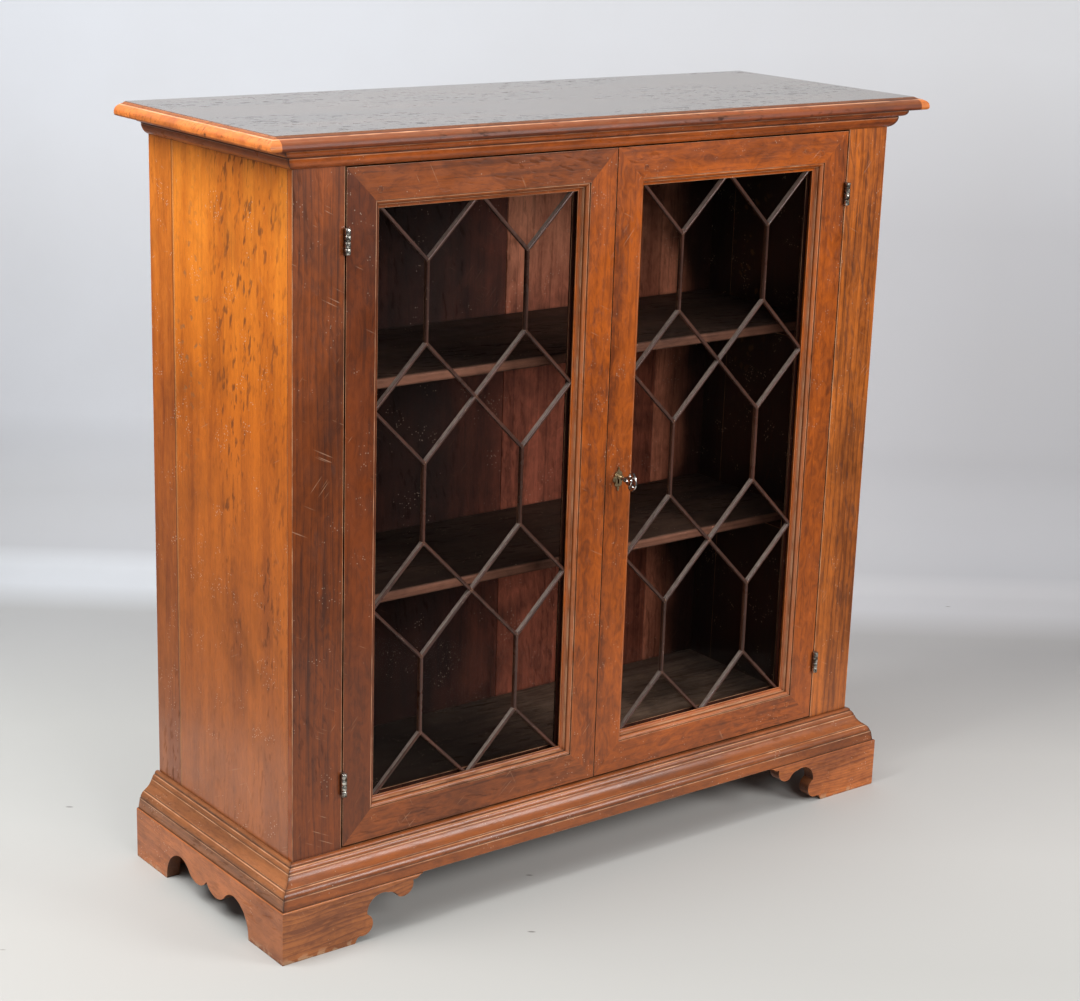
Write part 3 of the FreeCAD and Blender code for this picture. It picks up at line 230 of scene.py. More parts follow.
# Where a pattern begins to show and where it is full
SHOWS = {
    "pores": (0.62, 0.74),
    "figure": (0.34, 0.66),
    "fibre": (0.3, 0.7),
    "curl": (0.38, 0.66),
    "gather": (0.44, 0.56),
    "streaks": (0.70, 0.80),
    "stains": (0.50, 0.72),
    "chips": (0.50, 0.56),
    "pricks": (0.58, 0.62),
    "scratches": (0.46, 0.36),
    "rubbed": (0.35, 0.60),
    "hollows": (0.40, 0.80),
    "metal": (0.38, 0.62),
}
RING_UNEVENNESS = 1.4
LATE_WOOD_POWER = 3.0
EARLY_WOOD_SHARE = 0.12


def grain_group():
    """Growth rings, fibre and pores of one board, from grain coordinates in metres."""
    tree = bpy.data.node_groups.new("wood_grain", "ShaderNodeTree")
    tree.interface.new_socket("Vector", in_out="INPUT", socket_type="NodeSocketVector")
    for name in ("Pith depth", "Ring width", "Wander"):
        tree.interface.new_socket(name, in_out="INPUT", socket_type="NodeSocketFloat")
    for name in ("Rings", "Fibre", "Pores", "Figure"):
        tree.interface.new_socket(name, in_out="OUTPUT", socket_type="NodeSocketFloat")
    graph = Graph(tree)
    given = graph.node("NodeGroupInput")
    place = given.outputs["Vector"]
    drift = graph.stretched_noise(place, *PATTERNS["drift"], output="Color")
    drift = graph.vector_math("SUBTRACT", drift, (0.5, 0.5, 0.5))
    moved = graph.vector_math("ADD", place, graph.scaled(drift, given.outputs["Wander"]))
    along, across, deep = graph.split(moved)
    deep = graph.plus(deep, given.outputs["Pith depth"])
    radius = graph.math("SQRT", graph.plus(graph.times(across, across), graph.times(deep, deep)))
    turns = graph.math("DIVIDE", radius, given.outputs["Ring width"])
    uneven = graph.stretched_noise(moved, *PATTERNS["uneven"])
    phase = graph.math("FRACT", graph.plus(turns, graph.times(uneven, RING_UNEVENNESS)))
    late = graph.math("POWER", phase, LATE_WOOD_POWER)
    early = graph.remap(phase, 0.0, EARLY_WOOD_SHARE, 1.0, 0.0, "SMOOTHSTEP")
    rings = graph.math("MAXIMUM", late, early)
    fibre = graph.stretched_noise(moved, *PATTERNS["fibre"])
    pores = graph.remap(graph.stretched_noise(moved, *PATTERNS["pores"]), *SHOWS["pores"])
    figure = graph.stretched_noise(place, *PATTERNS["figure"])
    graph.node("NodeGroupOutput", (rings, fibre, pores, figure))
    return tree


WOOD_GRAIN = grain_group()

# What a finish has unless it says otherwise. Fleck is how often the flecks repeat in a metre, slant
# how far they lie askew, crisp where they begin and are full, and the top light is the wood painted
# lighter near the top, as painted light. Fibre, rings and mottle darken the wood, and the other marks
# are shares of what each is at most.
USUAL = dict(
    gloss=0.34,
    coat=0.2,
    specular=0.3,
    relief=1.0,
    ripple=0.00014,
    fleck=(40.0, 150.0, 150.0),
    slant=0.2,
    crisp=(0.57, 0.66),
    ring_width=0.011,
    wander=0.05,
    faded=0.0,
    dust=0.0,
    bleached=None,
)
FINISHES = {}


def add_finish(name, light, dark, like=None, **marks):
    """A finish: its light and dark wood as they look in plain light, and how much it has of every
    age mark and of every painted light and shade."""
    base = FINISHES[like] if like else USUAL
    FINISHES[name] = base | marks | {"wood": (light, dark)}


add_finish(
    "side",
    (222, 117, 26),
    (158, 76, 18),
    grime=(74, 42, 24),
    lenses=0.85,
    streaks=0.25,
    stains=0.30,
    pricks=0.8,
    scratches=0.35,
    fleck=(48.0, 130.0, 130.0),
    slant=0.18,
    crisp=(0.56, 0.66),
    fibre=0.12,
    rings=0.15,
    mottle=0.25,
    faded=0.55,
    coat=0.25,
    bleached=((255, 153, 48), (212, 110, 28)),
)
add_finish(
    "side_rear",
    (206, 110, 34),
    (146, 66, 20),
    like="side",
    lenses=0.35,
    streaks=0.5,
    scratches=0.3,
    crisp=USUAL["crisp"],
    fibre=0.25,
    bleached=((246, 142, 46), (196, 102, 28)),
)
# The left stile is darker and the right stile brighter: partly their wood, and partly painted shade
# on the left and painted light on the right
add_finish(
    "stile",
    (138, 64, 14),
    (86, 38, 10),
    grime=(40, 22, 16),
    lenses=0.4,
    streaks=0.6,
    stains=0.35,
    pricks=0.4,
    scratches=0.7,
    fibre=0.35,
    rings=0.35,
    mottle=0.3,
    faded=0.05,
    gloss=0.36,
    coat=0.35,
    bleached=((182, 92, 36), (114, 56, 24)),
)
add_finish(
    "stile_bright",
    (204, 110, 36),
    (116, 56, 14),
    like="stile",
    grime=(52, 26, 14),
    lenses=0.5,
    pricks=0.5,
    scratches=0.4,
    fleck=(26.0, 120.0, 120.0),
    rings=0.4,
    faded=0.15,
    gloss=0.34,
    coat=0.2,
    bleached=((226, 120, 34), (130, 62, 14)),
)
add_finish(
    "door",
    (188, 90, 12),
    (118, 52, 6),
    grime=(48, 24, 14),
    lenses=0.35,
    streaks=0.45,
    stains=0.35,
    pricks=0.5,
    scratches=0.4,
    fibre=0.15,
    rings=0.12,
    mottle=0.55,
    faded=0.2,
    dust=0.6,
    coat=0.15,
)
# The darker door finishes go on the left door: partly its darker wood, and partly painted shade
add_finish(
    "door_dark",
    (160, 80, 26),
    (104, 48, 14),
    like="door",
    grime=(42, 22, 14),
    streaks=0.6,
    scratches=0.5,
    mottle=0.5,
    faded=0.15,
    dust=0.55,
    coat=0.2,
)
add_finish("door_darkest", (126, 56, 12), (82, 34, 6), like="door_dark", dust=0.4)
add_finish(
    "moulding",
    (190, 94, 32),
    (110, 50, 18),
    grime=(44, 22, 14),
    lenses=0.2,
    streaks=0.35,
    stains=0.25,
    pricks=0.5,
    scratches=0.25,
    fibre=0.2,
    rings=0.25,
    mottle=0.3,
    faded=0.1,
    dust=0.12,
    gloss=0.28,
    coat=0.3,
)
add_finish(
    "side_moulding",
    (206, 112, 44),
    (142, 72, 28),
    like="moulding",
    grime=(56, 30, 16),
    streaks=0.3,
    stains=0.2,
    fibre=0.15,
    rings=0.2,
    mottle=0.25,
    faded=0.3,
    dust=0.15,
    coat=0.4,
)
add_finish(
    "base_moulding",
    (168, 88, 32),
    (98, 46, 18),
    like="moulding",
    faded=0.15,
    gloss=0.32,
    specular=0.25,
)
add_finish("base_side", (174, 108, 62), (102, 60, 34), like="base_moulding")
add_finish(
    "foot",
    (196, 116, 56),
    (118, 62, 30),
    grime=(52, 28, 18),
    lenses=0.2,
    streaks=0.45,
    stains=0.4,
    pricks=0.6,
    scratches=0.25,
    fibre=0.2,
    rings=0.45,
    ring_width=0.005,
    wander=0.11,
    mottle=0.35,
    faded=0.15,
    dust=0.2,
    gloss=0.40,
)
add_finish("foot_warm", (214, 120, 52), (140, 68, 26), like="foot", rings=0.4)
add_finish("apron", (218, 128, 70), (150, 78, 38), like="foot", streaks=0.3, rings=0.25)
add_finish(
    "top",
    (84, 64, 50),
    (54, 40, 32),
    grime=(16, 11, 10),
    lenses=0.8,
    streaks=0.7,
    stains=0.3,
    pricks=0.0,
    scratches=0.0,
    fleck=(60.0, 130.0, 130.0),
    crisp=(0.59, 0.68),
    fibre=0.1,
    rings=0.3,
    mottle=0.3,
    dust=0.25,
    gloss=0.26,
    coat=0.6,
    specular=0.4,
    relief=0.1,
    ripple=0.00003,
)
add_finish(
    "inside",
    (78, 40, 29),
    (44, 23, 18),
    grime=(20, 12, 10),
    lenses=0.3,
    streaks=0.5,
    stains=0.6,
    pricks=0.4,
    scratches=0.1,
    fibre=0.25,
    rings=0.3,
    mottle=0.3,
    gloss=0.55,
    coat=0.0,
    specular=0.1,
)
# The back boards differ board by board: partly their own wood, and partly painted shade on the darker
# ones and painted light on the brighter ones
add_finish("back_dark", (104, 54, 40), (60, 30, 23), like="inside")
add_finish("shelf", (74, 54, 44), (42, 30, 24), like="inside", scratches=0.15)
add_finish("floor_board", (136, 110, 92), (88, 66, 54), like="shelf")
add_finish(
    "back_red",
    (166, 90, 68),
    (104, 54, 40),
    like="inside",
    grime=(26, 14, 12),
    lenses=0.4,
    stains=0.7,
    fibre=0.2,
    rings=0.25,
    mottle=0.4,
    gloss=0.50,
    bleached=((255, 172, 132), (204, 124, 94)),
)
add_finish("back_bright", (224, 136, 104), (156, 90, 68), like="back_red")
add_finish(
    "bars",
    (86, 52, 40),
    (44, 27, 20),
    grime=(34, 22, 18),
    lenses=0.1,
    streaks=0.3,
    stains=0.4,
    pricks=0.3,
    scratches=0.0,
    fibre=0.1,
    rings=0.1,
    mottle=0.2,
    dust=0.5,
    gloss=0.26,
    coat=0.3,
)
add_finish(
    "raw",
    (172, 128, 88),
    (128, 88, 58),
    grime=(66, 46, 34),
    lenses=0.2,
    streaks=0.5,
    stains=0.5,
    pricks=0.2,
    scratches=0.4,
    fibre=0.3,
    rings=0.4,
    mottle=0.2,
    gloss=0.70,
    coat=0.0,
)
SIDES = ("side", "side_rear")
STILES = ("stile", "stile_bright")
FEET = ("foot", "foot_warm", "apron")

# Colours of the age marks, and of the painted light and shade among them
JOINT_WOOD = srgb(236, 176, 112)
LOW_TINT_WOOD = srgb(150, 104, 80)
CHIPPED_WOOD = srgb(206, 164, 126)
DENT_DIRT = srgb(128, 96, 62)
PRICKED_WOOD = srgb(232, 206, 182)
SCRATCHED_WOOD = srgb(206, 160, 126)
RUBBED_WOOD = srgb(224, 170, 128)
QUIRK_ARRIS_HIGHLIGHT = srgb(220, 166, 128)
CUT_FACE_WOOD = srgb(56, 32, 20)
DUST_AND_HIGHLIGHT = srgb(208, 132, 88)
BAR_DUST_AND_HIGHLIGHT = srgb(220, 202, 188)

# Light and dark wood of one zone of a piece
# The top's edge: its ends painted lighter than its front, as painted light
FRONT_EDGE_WOOD = ((134, 58, 8), (64, 24, 3))
END_EDGE_WOOD = ((224, 128, 56), (176, 90, 36))
# The inner faces of the sides: darker wood, with painted shade in it
INNER_WOOD = ((46, 30, 24), (26, 18, 14))
RAW_BACK_WOOD = ((132, 96, 70), (92, 64, 46))
SHELF_EDGE_WOOD = ((132, 88, 70), (84, 54, 42))
LIP_WOOD = ((190, 98, 30), (142, 66, 20))
# The stile's lip near the top, painted lighter as painted light
LIT_LIP_WOOD = ((240, 140, 50), (196, 102, 32))

# The grain: its pith's depth in metres, its figure's share, and the tone at which dark wood begins
PITH_DEPTH = 0.09
FIGURE_SHARE = 0.8
TONE_START = 0.28

# Patterns that don't follow the grain: repeats in a metre, detail, roughness and distortion
STAIN_PATTERN = (6.5, 3.0, 0.65, 0.4)
PATCH_PATTERN = (23.0, 2.0, 0.65)
SHADE_PATTERN = (5.0, 2.0)
GATHERED_STREAKS = 0.25

# How strong each mark is at most
STRENGTHS = {
    "joint": 0.5,
    "joint_dirt": 0.55,
    "chips": 0.7,
    "pores": 0.4,
    "lenses": 0.8,
    "streaks": 0.6,
    "dents": 0.6,
    "pricks": 0.8,
    "scratches": 0.6,
    "rubbed": 0.7,
    "mitre": 0.9,
    "mitre_smear": 0.45,
    "cut_faces": 0.8,
    "hollows": 0.8,
}

# Where the zones begin and end, in metres
TOP_FACE = 1.0852
TOP_END = 0.5435
SIDE_INNER_FACE = 0.4905
SIDE_JOINT = 0.1335
JOINT_LINE = (-0.0014, 0.0014)
JOINT_DIRT = (0.0016, 0.0040)
STILE_OUTER = 0.5085
OUTER_BACK = 0.1925
# Painted light: the heights over which the wood turns lighter towards the top, and its share at most
TOP_LIGHT_HEIGHTS = (0.70, 1.02)
TOP_LIGHT_SHARE = 0.9
LOW_TINT_HEIGHTS = (0.75, 0.08)
CHIPPED_HEIGHTS = (0.010, 0.001)
CHIPS_PER_METRE = 70.0
FLECK_ZONE = 0.055
FLECK_REACH = (0.05, 0.11)
FLECK_HEIGHTS = (0.15, 0.50)
DENT_Y = 0.09
DENT_Y_REACH = (0.02, 0.05)
DENT_Z = 0.80
DENT_Z_REACH = (0.05, 0.26)

# Spots: how many in a metre along each axis, their size in their cell, and how many cells have one
DENT_SPOTS = ((75.0, 75.0, 75.0), 0.42, 0.5)
PRICK_SPOTS = ((260.0, 260.0, 260.0), 0.26, 0.5)
SCRATCH_SPOTS = ((13.0, 300.0, 40.0), 0.24, 0.35)
FLOOR_SPECKS = ((10.0, 26.0, 26.0), 0.07, 0.12)
DENT_STIRS_PER_METRE = 60.0
DENT_STIR = 0.02
SCRATCH_ANGLES = (-0.7, 1.1)

# The slopes on which dust and painted highlight begin and are full, as parts of a face's normal
DUST_AND_HIGHLIGHT_SLOPE = (0.25, 0.6)
PLAIN_FLAT = (0.90, 0.98)
BAR_HIGHLIGHT_SLOPE = (0.86, 0.99)

# Dark lines of dirt and painted shade in the quirks of the mouldings, each from one place in metres
# to
# another: heights for the base, cornice and top, and distances out from the glass for the doors
QUIRKS = {
    "base": ((0.1212, 0.1226), (0.1146, 0.1156), (0.0994, 0.1004), (0.0896, 0.0908)),
    "cornice": ((1.0560, 1.0583), (1.0664, 1.0672)),
    "top": ((1.0832, 1.0853),),
    "door": ((0.0111, 0.0122), (0.0058, 0.0069)),
}
QUIRK_SHARES = {"base": 0.6, "cornice": 0.7, "top": 0.6, "door": 0.4}
ARRIS_WIDTH = 0.0010
ARRIS_GAP = 0.0002

# On the mitres of the base and cornice, the distances aside and backward add up to this. Then how
# far off it their dark line and its smear go from full to nothing.
MITRE_SUM = 0.3435
MITRE_LINE = (0.0006, 0.0012)
MITRE_SMEAR = (0.001, 0.007)

# The glass of a door, from the cabinet's middle and from the floor
SIGHT_X = (0.0567, 0.375)
SIGHT_Z = (0.1845, 0.9835)

# Painted shade, mostly inside the case where the stiles and frames shade the boards: the axis, the
# middle, how far it is full, where it ends, and its share
PAINTED_SHADE = {
    "back_board_2": (0, -0.085, 0.04, 0.16, 0.85),
    "back_board_4": (0, 0.50, 0.04, 0.11, 0.95),
    "bottom_board": (0, -0.30, 0.20, 0.50, 0.9),
    "shelf_upper": (0, -0.12, 0.03, 0.26, 0.55),
    "shelf_lower": (0, -0.12, 0.03, 0.26, 0.55),
    "side_apron_left": (1, -0.20, 0.03, 0.16, 0.25),
}
SHADE_DRIFT = 0.03

# Varnish, and then relief in metres
GLOSS_RISE = 0.03
GLOSS_SPREAD = 0.13
FLECK_DULLNESS = 0.4
TOP_EDGE_DULLNESS = 0.3
COAT_ROUGHNESS = 0.16
TOP_COAT_TINT = (1.0, 0.97, 0.91, 1.0)
TOP_EDGE_COAT = 0.08
WAVE_DEPTH = 0.0007
FIBRE_DEPTH = 0.00004
FLECK_DEPTH = 0.00015
SCRATCH_DEPTH = 0.00012
HOLLOW_REACH = 0.005


class Board:
    """The material of one wooden piece, laid on in layers from the bare wood to the dirt."""

    def __init__(self, name, finish, grain, seed):
        self.name = name
        self.finish = finish
        self.look = FINISHES[finish]
        self.grime = srgb(*self.look["grime"])
        self.material, self.graph, self.shader = new_material(name)
        graph = self.graph
        self.place = graph.coordinates("Object")
        self.spread = graph.split(self.place)
        self.x, self.y, self.z = self.spread
        self.aside = graph.math("ABSOLUTE", self.x)
        self.facing = graph.split(graph.coordinates("Normal"))
        self.along = self.grain_space(grain, seed)

        group = graph.node("ShaderNodeGroup", node_tree=WOOD_GRAIN)
        graph.fill(group, (self.along, PITH_DEPTH, self.look["ring_width"], self.look["wander"]))
        rings, self.fibre, self.pores, figure = group.outputs
        self.curl = self.pattern("curl")
        self.patch = graph.noise(self.place, *PATCH_PATTERN)
        tone = graph.times(graph.remap(figure, *SHOWS["figure"]), FIGURE_SHARE)
        for mark, share in (
            (rings, "rings"),
            (graph.remap(self.fibre, *SHOWS["fibre"]), "fibre"),
            (graph.remap(self.curl, *SHOWS["curl"]), "mottle"),
        ):
            tone = graph.plus(tone, graph.times(mark, self.look[share]))
        self.tone = graph.math("SUBTRACT", tone, TONE_START, clamp=True)
        self.colour = self.toned(self.look["wood"])

    def grain_space(self, grain, seed):
        """The place turned so that its X runs along the grain, and shifted for each piece."""
        axes = [self.spread["xyz".index(axis)] for axis in GRAINS[grain]]
        joined = self.graph.node("ShaderNodeCombineXYZ", axes)
        shift = (seed * 1.713 % 7.0, (seed * 0.377 % 0.16) - 0.08, seed * 0.911 % 0.05)
        return self.graph.vector_math("ADD", joined.outputs[0], shift)

    def pattern(self, name):
        return self.graph.stretched_noise(self.along, *PATTERNS[name])

    def toned(self, wood):
        """Light and dark wood, mixed by the tone of the grain."""
        light, dark = wood
        return self.graph.mix(self.tone, srgb(*light), srgb(*dark))

    def lay(self, colour, mask, share=None):
        """Lays a colour over what is there, where the mask is and by a share of it."""
        if share is not None:
            mask = self.graph.times(mask, share)
        self.colour = self.graph.mix(mask, self.colour, colour)

    def paint_zones(self):
        """What belongs to one zone of a piece: edges, joints, hidden faces, worn feet, and painted
        light and shade: lighter tops, darker inner faces and darker bands inside the case.
        """
        graph = self.graph
        # The top's edge: its ends are painted lighter than its front, as painted light
        if self.finish == "top":
            self.on_edge = graph.math("LESS_THAN", self.z, TOP_FACE)
            at_end = graph.math("GREATER_THAN", self.aside, TOP_END)
            edge = graph.mix(at_end, self.toned(FRONT_EDGE_WOOD), self.toned(END_EDGE_WOOD))
            self.lay(edge, self.on_edge)
        # Painted light: the wood is painted lighter towards the top, where more light falls
        if self.look["bleached"]:
            self.high = graph.remap(self.z, *TOP_LIGHT_HEIGHTS, 0.0, TOP_LIGHT_SHARE)
            self.lay(self.toned(self.look["bleached"]), self.high)
        if self.finish in SIDES:
            off_joint = graph.minus(self.y, SIDE_JOINT)
            self.lay(JOINT_WOOD, graph.between(off_joint, *JOINT_LINE), STRENGTHS["joint"])
            self.lay(self.grime, graph.between(off_joint, *JOINT_DIRT), STRENGTHS["joint_dirt"])
        # The wood turns duller towards the bottom
        self.lay(LOW_TINT_WOOD, graph.remap(self.z, *LOW_TINT_HEIGHTS, 0.0, self.look["faded"]))
        # The inner faces of the sides are painted dark: darker inside wood, and painted shade
        if self.finish in SIDES:
            self.inside = graph.math("LESS_THAN", self.aside, SIDE_INNER_FACE)
            self.lay(self.toned(INNER_WOOD), self.inside)
        # Painted shade: a darker band on the board, where the stiles and frames shade it
        if self.name in PAINTED_SHADE:
            axis, centre, full, none, share = PAINTED_SHADE[self.name]
            drift = graph.noise(self.place, *SHADE_PATTERN)
            drift = graph.remap(drift, 0.3, 0.7, -SHADE_DRIFT, SHADE_DRIFT)
            away = graph.plus(graph.off(self.spread[axis], centre), drift)
            self.lay(self.grime, graph.remap(away, full, none, share, 0.0, "SMOOTHSTEP"))
        if self.name.startswith("back_board"):
            self.lay(self.toned(RAW_BACK_WOOD), graph.math("GREATER_THAN", self.y, OUTER_BACK))
        if self.finish in FEET:
            chips = graph.remap(graph.noise(self.place, CHIPS_PER_METRE), *SHOWS["chips"])
            chips = graph.times(chips, graph.remap(self.z, *CHIPPED_HEIGHTS))
            self.lay(CHIPPED_WOOD, chips, STRENGTHS["chips"])
        self.lay(self.grime, self.pores, STRENGTHS["pores"])

    def paint_flecks(self):
        """Dark lens-shaped flecks and long streaks along the grain, and broad stains."""
        graph = self.graph
        gather = self.pattern("gather")
        askew = graph.slanted(self.along, self.look["slant"])
        lenses = graph.stretched_noise(askew, self.look["fleck"])
        lenses = graph.remap(lenses, *self.look["crisp"])
        lenses = graph.times(lenses, graph.remap(gather, *SHOWS["gather"]))
        if self.finish == "side":
            from_zone = graph.math("ABSOLUTE", graph.plus(self.y, FLECK_ZONE))
            lenses = graph.times(lenses, graph.remap(from_zone, *FLECK_REACH, 1.0, 0.25))
            lenses = graph.times(lenses, graph.remap(self.z, *FLECK_HEIGHTS, 0.3, 1.0))
        self.lay(self.grime, lenses, self.look["lenses"] * STRENGTHS["lenses"])
        streaks = graph.plus(self.pattern("streaks"), graph.times(gather, GATHERED_STREAKS))
        streaks = graph.remap(streaks, *SHOWS["streaks"])
        self.lay(self.grime, streaks, self.look["streaks"] * STRENGTHS["streaks"])
        stains = graph.remap(graph.noise(self.place, *STAIN_PATTERN), *SHOWS["stains"])
        self.lay(self.grime, stains, self.look["stains"])
        self.lenses = lenses

    def paint_dents(self):
        """Shallow dents with grey dirt in them, on one part of a side."""
        graph = self.graph
        near = graph.times(
            graph.remap(graph.off(self.y, DENT_Y), *DENT_Y_REACH, 1.0, 0.0),
            graph.remap(graph.off(self.z, DENT_Z), *DENT_Z_REACH, 1.0, 0.0),
        )
        stirred = graph.noise(self.place, DENT_STIRS_PER_METRE, output="Color")
        moved = graph.vector_math("ADD", self.place, graph.scaled(stirred, DENT_STIR))
        dents = graph.times(graph.spots(moved, *DENT_SPOTS), near)
        self.lay(DENT_DIRT, dents, STRENGTHS["dents"])
        self.lenses = graph.math("MAXIMUM", self.lenses, dents)

    def paint_wear(self):
        """Pale pinpricks, fine scratches in short lengths, and arrises rubbed pale."""
        graph = self.graph
        pricks = graph.spots(self.place, *PRICK_SPOTS)
        pricks = graph.times(pricks, graph.remap(self.patch, *SHOWS["pricks"]))
        self.lay(PRICKED_WOOD, pricks, self.look["pricks"] * STRENGTHS["pricks"])
        one_way, other_way = (
            graph.spots(graph.slanted(self.along, angle), *SCRATCH_SPOTS)
            for angle in SCRATCH_ANGLES
        )
        scratches = graph.math("MAXIMUM", one_way, other_way)
        scratches = graph.times(scratches, graph.remap(self.patch, *SHOWS["scratches"]))
        if self.finish in SIDES:
            scratches = graph.times(scratches, graph.minus(1.0, self.inside))
        self.lay(SCRATCHED_WOOD, scratches, self.look["scratches"] * STRENGTHS["scratches"])
        rubbed = graph.node("ShaderNodeAttribute", attribute_name="worn").outputs["Fac"]
        rubbed = graph.times(rubbed, graph.remap(self.patch, *SHOWS["rubbed"], 0.25, 1.0))
        self.lay(RUBBED_WOOD, rubbed, STRENGTHS["rubbed"])
        self.scratches = scratches

    def out_from_glass(self):
        """How far a point of a door lies outside the rectangle of its glass."""
        graph = self.graph
        outward = []
        for value, (low, high) in ((self.aside, SIGHT_X), (self.z, SIGHT_Z)):
            below = graph.minus(low, value)
            outward.append(graph.math("MAXIMUM", below, graph.minus(value, high)))
        return graph.math("MAXIMUM", *outward)

    def paint_quirks(self, trim):
        """Lines of dirt and painted shade in the quirks of a moulding, arrises beside them rubbed
        pale and painted as highlights, and the mitres.
        """
        graph = self.graph
        place = self.out_from_glass() if trim == "door" else self.z
        broken = graph.remap(self.patch, *SHOWS["rubbed"], 0.2, 0.9)
        for low, high in QUIRKS[trim]:
            # The pale arris is wear and painted highlight, the dark quirk line dirt and painted shade
            arris = graph.between(place, low - ARRIS_WIDTH, low - ARRIS_GAP)
            self.lay(QUIRK_ARRIS_HIGHLIGHT, arris, broken)
            self.lay(self.grime, graph.between(place, low, high), QUIRK_SHARES[trim])
        if trim in ("base", "cornice"):
            off_mitre = graph.off(graph.plus(self.aside, self.y), MITRE_SUM)
            joint = graph.remap(off_mitre, *MITRE_LINE, STRENGTHS["mitre"], 0.0)
            smear = graph.remap(off_mitre, *MITRE_SMEAR, STRENGTHS["mitre_smear"], 0.0)
            self.lay(self.grime, graph.math("MAXIMUM", joint, smear))

    def paint_faces(self):
        """What shows on the faces that look one way: shelf edges, darker cut faces on the feet, and
        stile lips painted lighter near the top as painted light.
        """
        graph = self.graph
        if self.finish == "shelf":
            self.lay(self.toned(SHELF_EDGE_WOOD), graph.remap(self.facing[1], -0.5, -0.9))
        # The feet's faces that don't face front or back are painted darker
        if self.finish in FEET:
            flat = graph.math("ABSOLUTE", self.facing[0 if self.finish == "apron" else 1])
            self.lay(CUT_FACE_WOOD, graph.remap(flat, 0.6, 0.3, 0.0, STRENGTHS["cut_faces"]))
        if self.finish in STILES:
            sideways = graph.remap(graph.math("ABSOLUTE", self.facing[0]), 0.7, 0.9)
            outer = graph.math("GREATER_THAN", self.aside, STILE_OUTER)
            # The lip is painted lighter near the top, as painted light
            lip = graph.mix(self.high, self.toned(LIP_WOOD), self.toned(LIT_LIP_WOOD))
            self.lay(lip, sideways, outer)

    def paint_dust(self):
        """Dust and painted highlight on the slopes that face up or to the left, and grime and painted
        shade in hollows and corners.
        """
        graph = self.graph
        # Slopes facing left are painted pale as painted highlight; on slopes facing up the pale is
        # dust and painted highlight
        upward = self.facing[2]
        leftward = graph.times(self.facing[0], -1.0)
        if self.finish == "bars":
            lean = graph.times(graph.plus(upward, leftward), math.sqrt(0.5))
            slope = graph.remap(lean, *BAR_HIGHLIGHT_SLOPE)
        else:
            lean = graph.math("MAXIMUM", upward, leftward)
            off_flat = graph.remap(lean, *PLAIN_FLAT, 1.0, 0.0)
            slope = graph.times(graph.remap(lean, *DUST_AND_HIGHLIGHT_SLOPE), off_flat)
        slope = graph.times(slope, graph.remap(self.curl, 0.3, 0.6, 0.5, 1.0))
        self.lay(BAR_DUST_AND_HIGHLIGHT if self.finish == "bars" else DUST_AND_HIGHLIGHT, slope, self.look["dust"])
        # Darker in hollows and corners by ambient occlusion: dirt, and painted shade
        hollow = graph.node("ShaderNodeAmbientOcclusion", {"Distance": HOLLOW_REACH}, samples=4)
        dirt = graph.remap(hollow.outputs["AO"], *SHOWS["hollows"], STRENGTHS["hollows"], 0.0)
        self.lay(self.grime, dirt)

    def set_surface(self):
        """Gloss and relief: flecks are dull, and flecks and scratches lie a little deeper."""
        graph = self.graph
        look = self.look
        glossiest = look["gloss"] - GLOSS_RISE
        dullest = glossiest + GLOSS_SPREAD * look["relief"]
        rough = graph.remap(self.patch, 0.3, 0.7, glossiest, dullest)
        rough = graph.plus(rough, graph.times(self.lenses, FLECK_DULLNESS))
        height = graph.times(self.pattern("waves"), WAVE_DEPTH)
        height = graph.plus(height, graph.times(self.pattern("ripples"), look["ripple"]))
        height = graph.plus(height, graph.times(self.fibre, FIBRE_DEPTH))
        height = graph.minus(height, graph.times(self.lenses, FLECK_DEPTH))
        height = graph.minus(height, graph.times(self.scratches, SCRATCH_DEPTH))
        coat = look["coat"]
        if self.finish == "top":
            rough = graph.plus(rough, graph.times(self.on_edge, TOP_EDGE_DULLNESS))
            coat = graph.remap(self.on_edge, 0.0, 1.0, coat, TOP_EDGE_COAT)
            self.shader.inputs["Coat Tint"].default_value = TOP_COAT_TINT
        inputs = {
            "Base Color": self.colour,
            "Roughness": rough,
            "Normal": graph.bump(graph.times(height, look["relief"]), 1.0),
            "Specular IOR Level": look["specular"],
            "Coat Weight": coat,
            "Coat Roughness": COAT_ROUGHNESS,
        }
        graph.fill(self.shader, inputs)


def wood(name, finish, grain, seed, trim):
    """Varnished hardwood with age marks, its grain turned and shifted for one piece."""
    board = Board(name, finish, grain, seed)
    board.paint_zones()
    board.paint_flecks()
    if finish == "side":
        board.paint_dents()
    board.paint_wear()
    if trim:
        board.paint_quirks(trim)
    board.paint_faces()
    board.paint_dust()
    board.set_surface()
    return board.material


# Each lamp: its place and aim, its width and height in metres, and its power in watts
LAMPS = {
    "key": ((-1.6, 0.1, 2.2), (-0.5, 0.0, 0.9), 1.2, 1.4, 50),
    "fill": ((1.7, -2.9, 1.7), (0.1, 0, 0.7), 1.3, 1.1, 62),
    "front": ((-0.45, -3.1, 2.2), (0.1, -0.3, 0.3), 1.4, 1.1, 34),
    "overhead": ((-0.7, -0.6, 4.2), (-0.2, 0.3, 0.0), 3.0, 3.0, 76),
}
WORLD_COLOUR = (0.90, 0.94, 1.0, 1.0)
WORLD_STRENGTH = 0.13


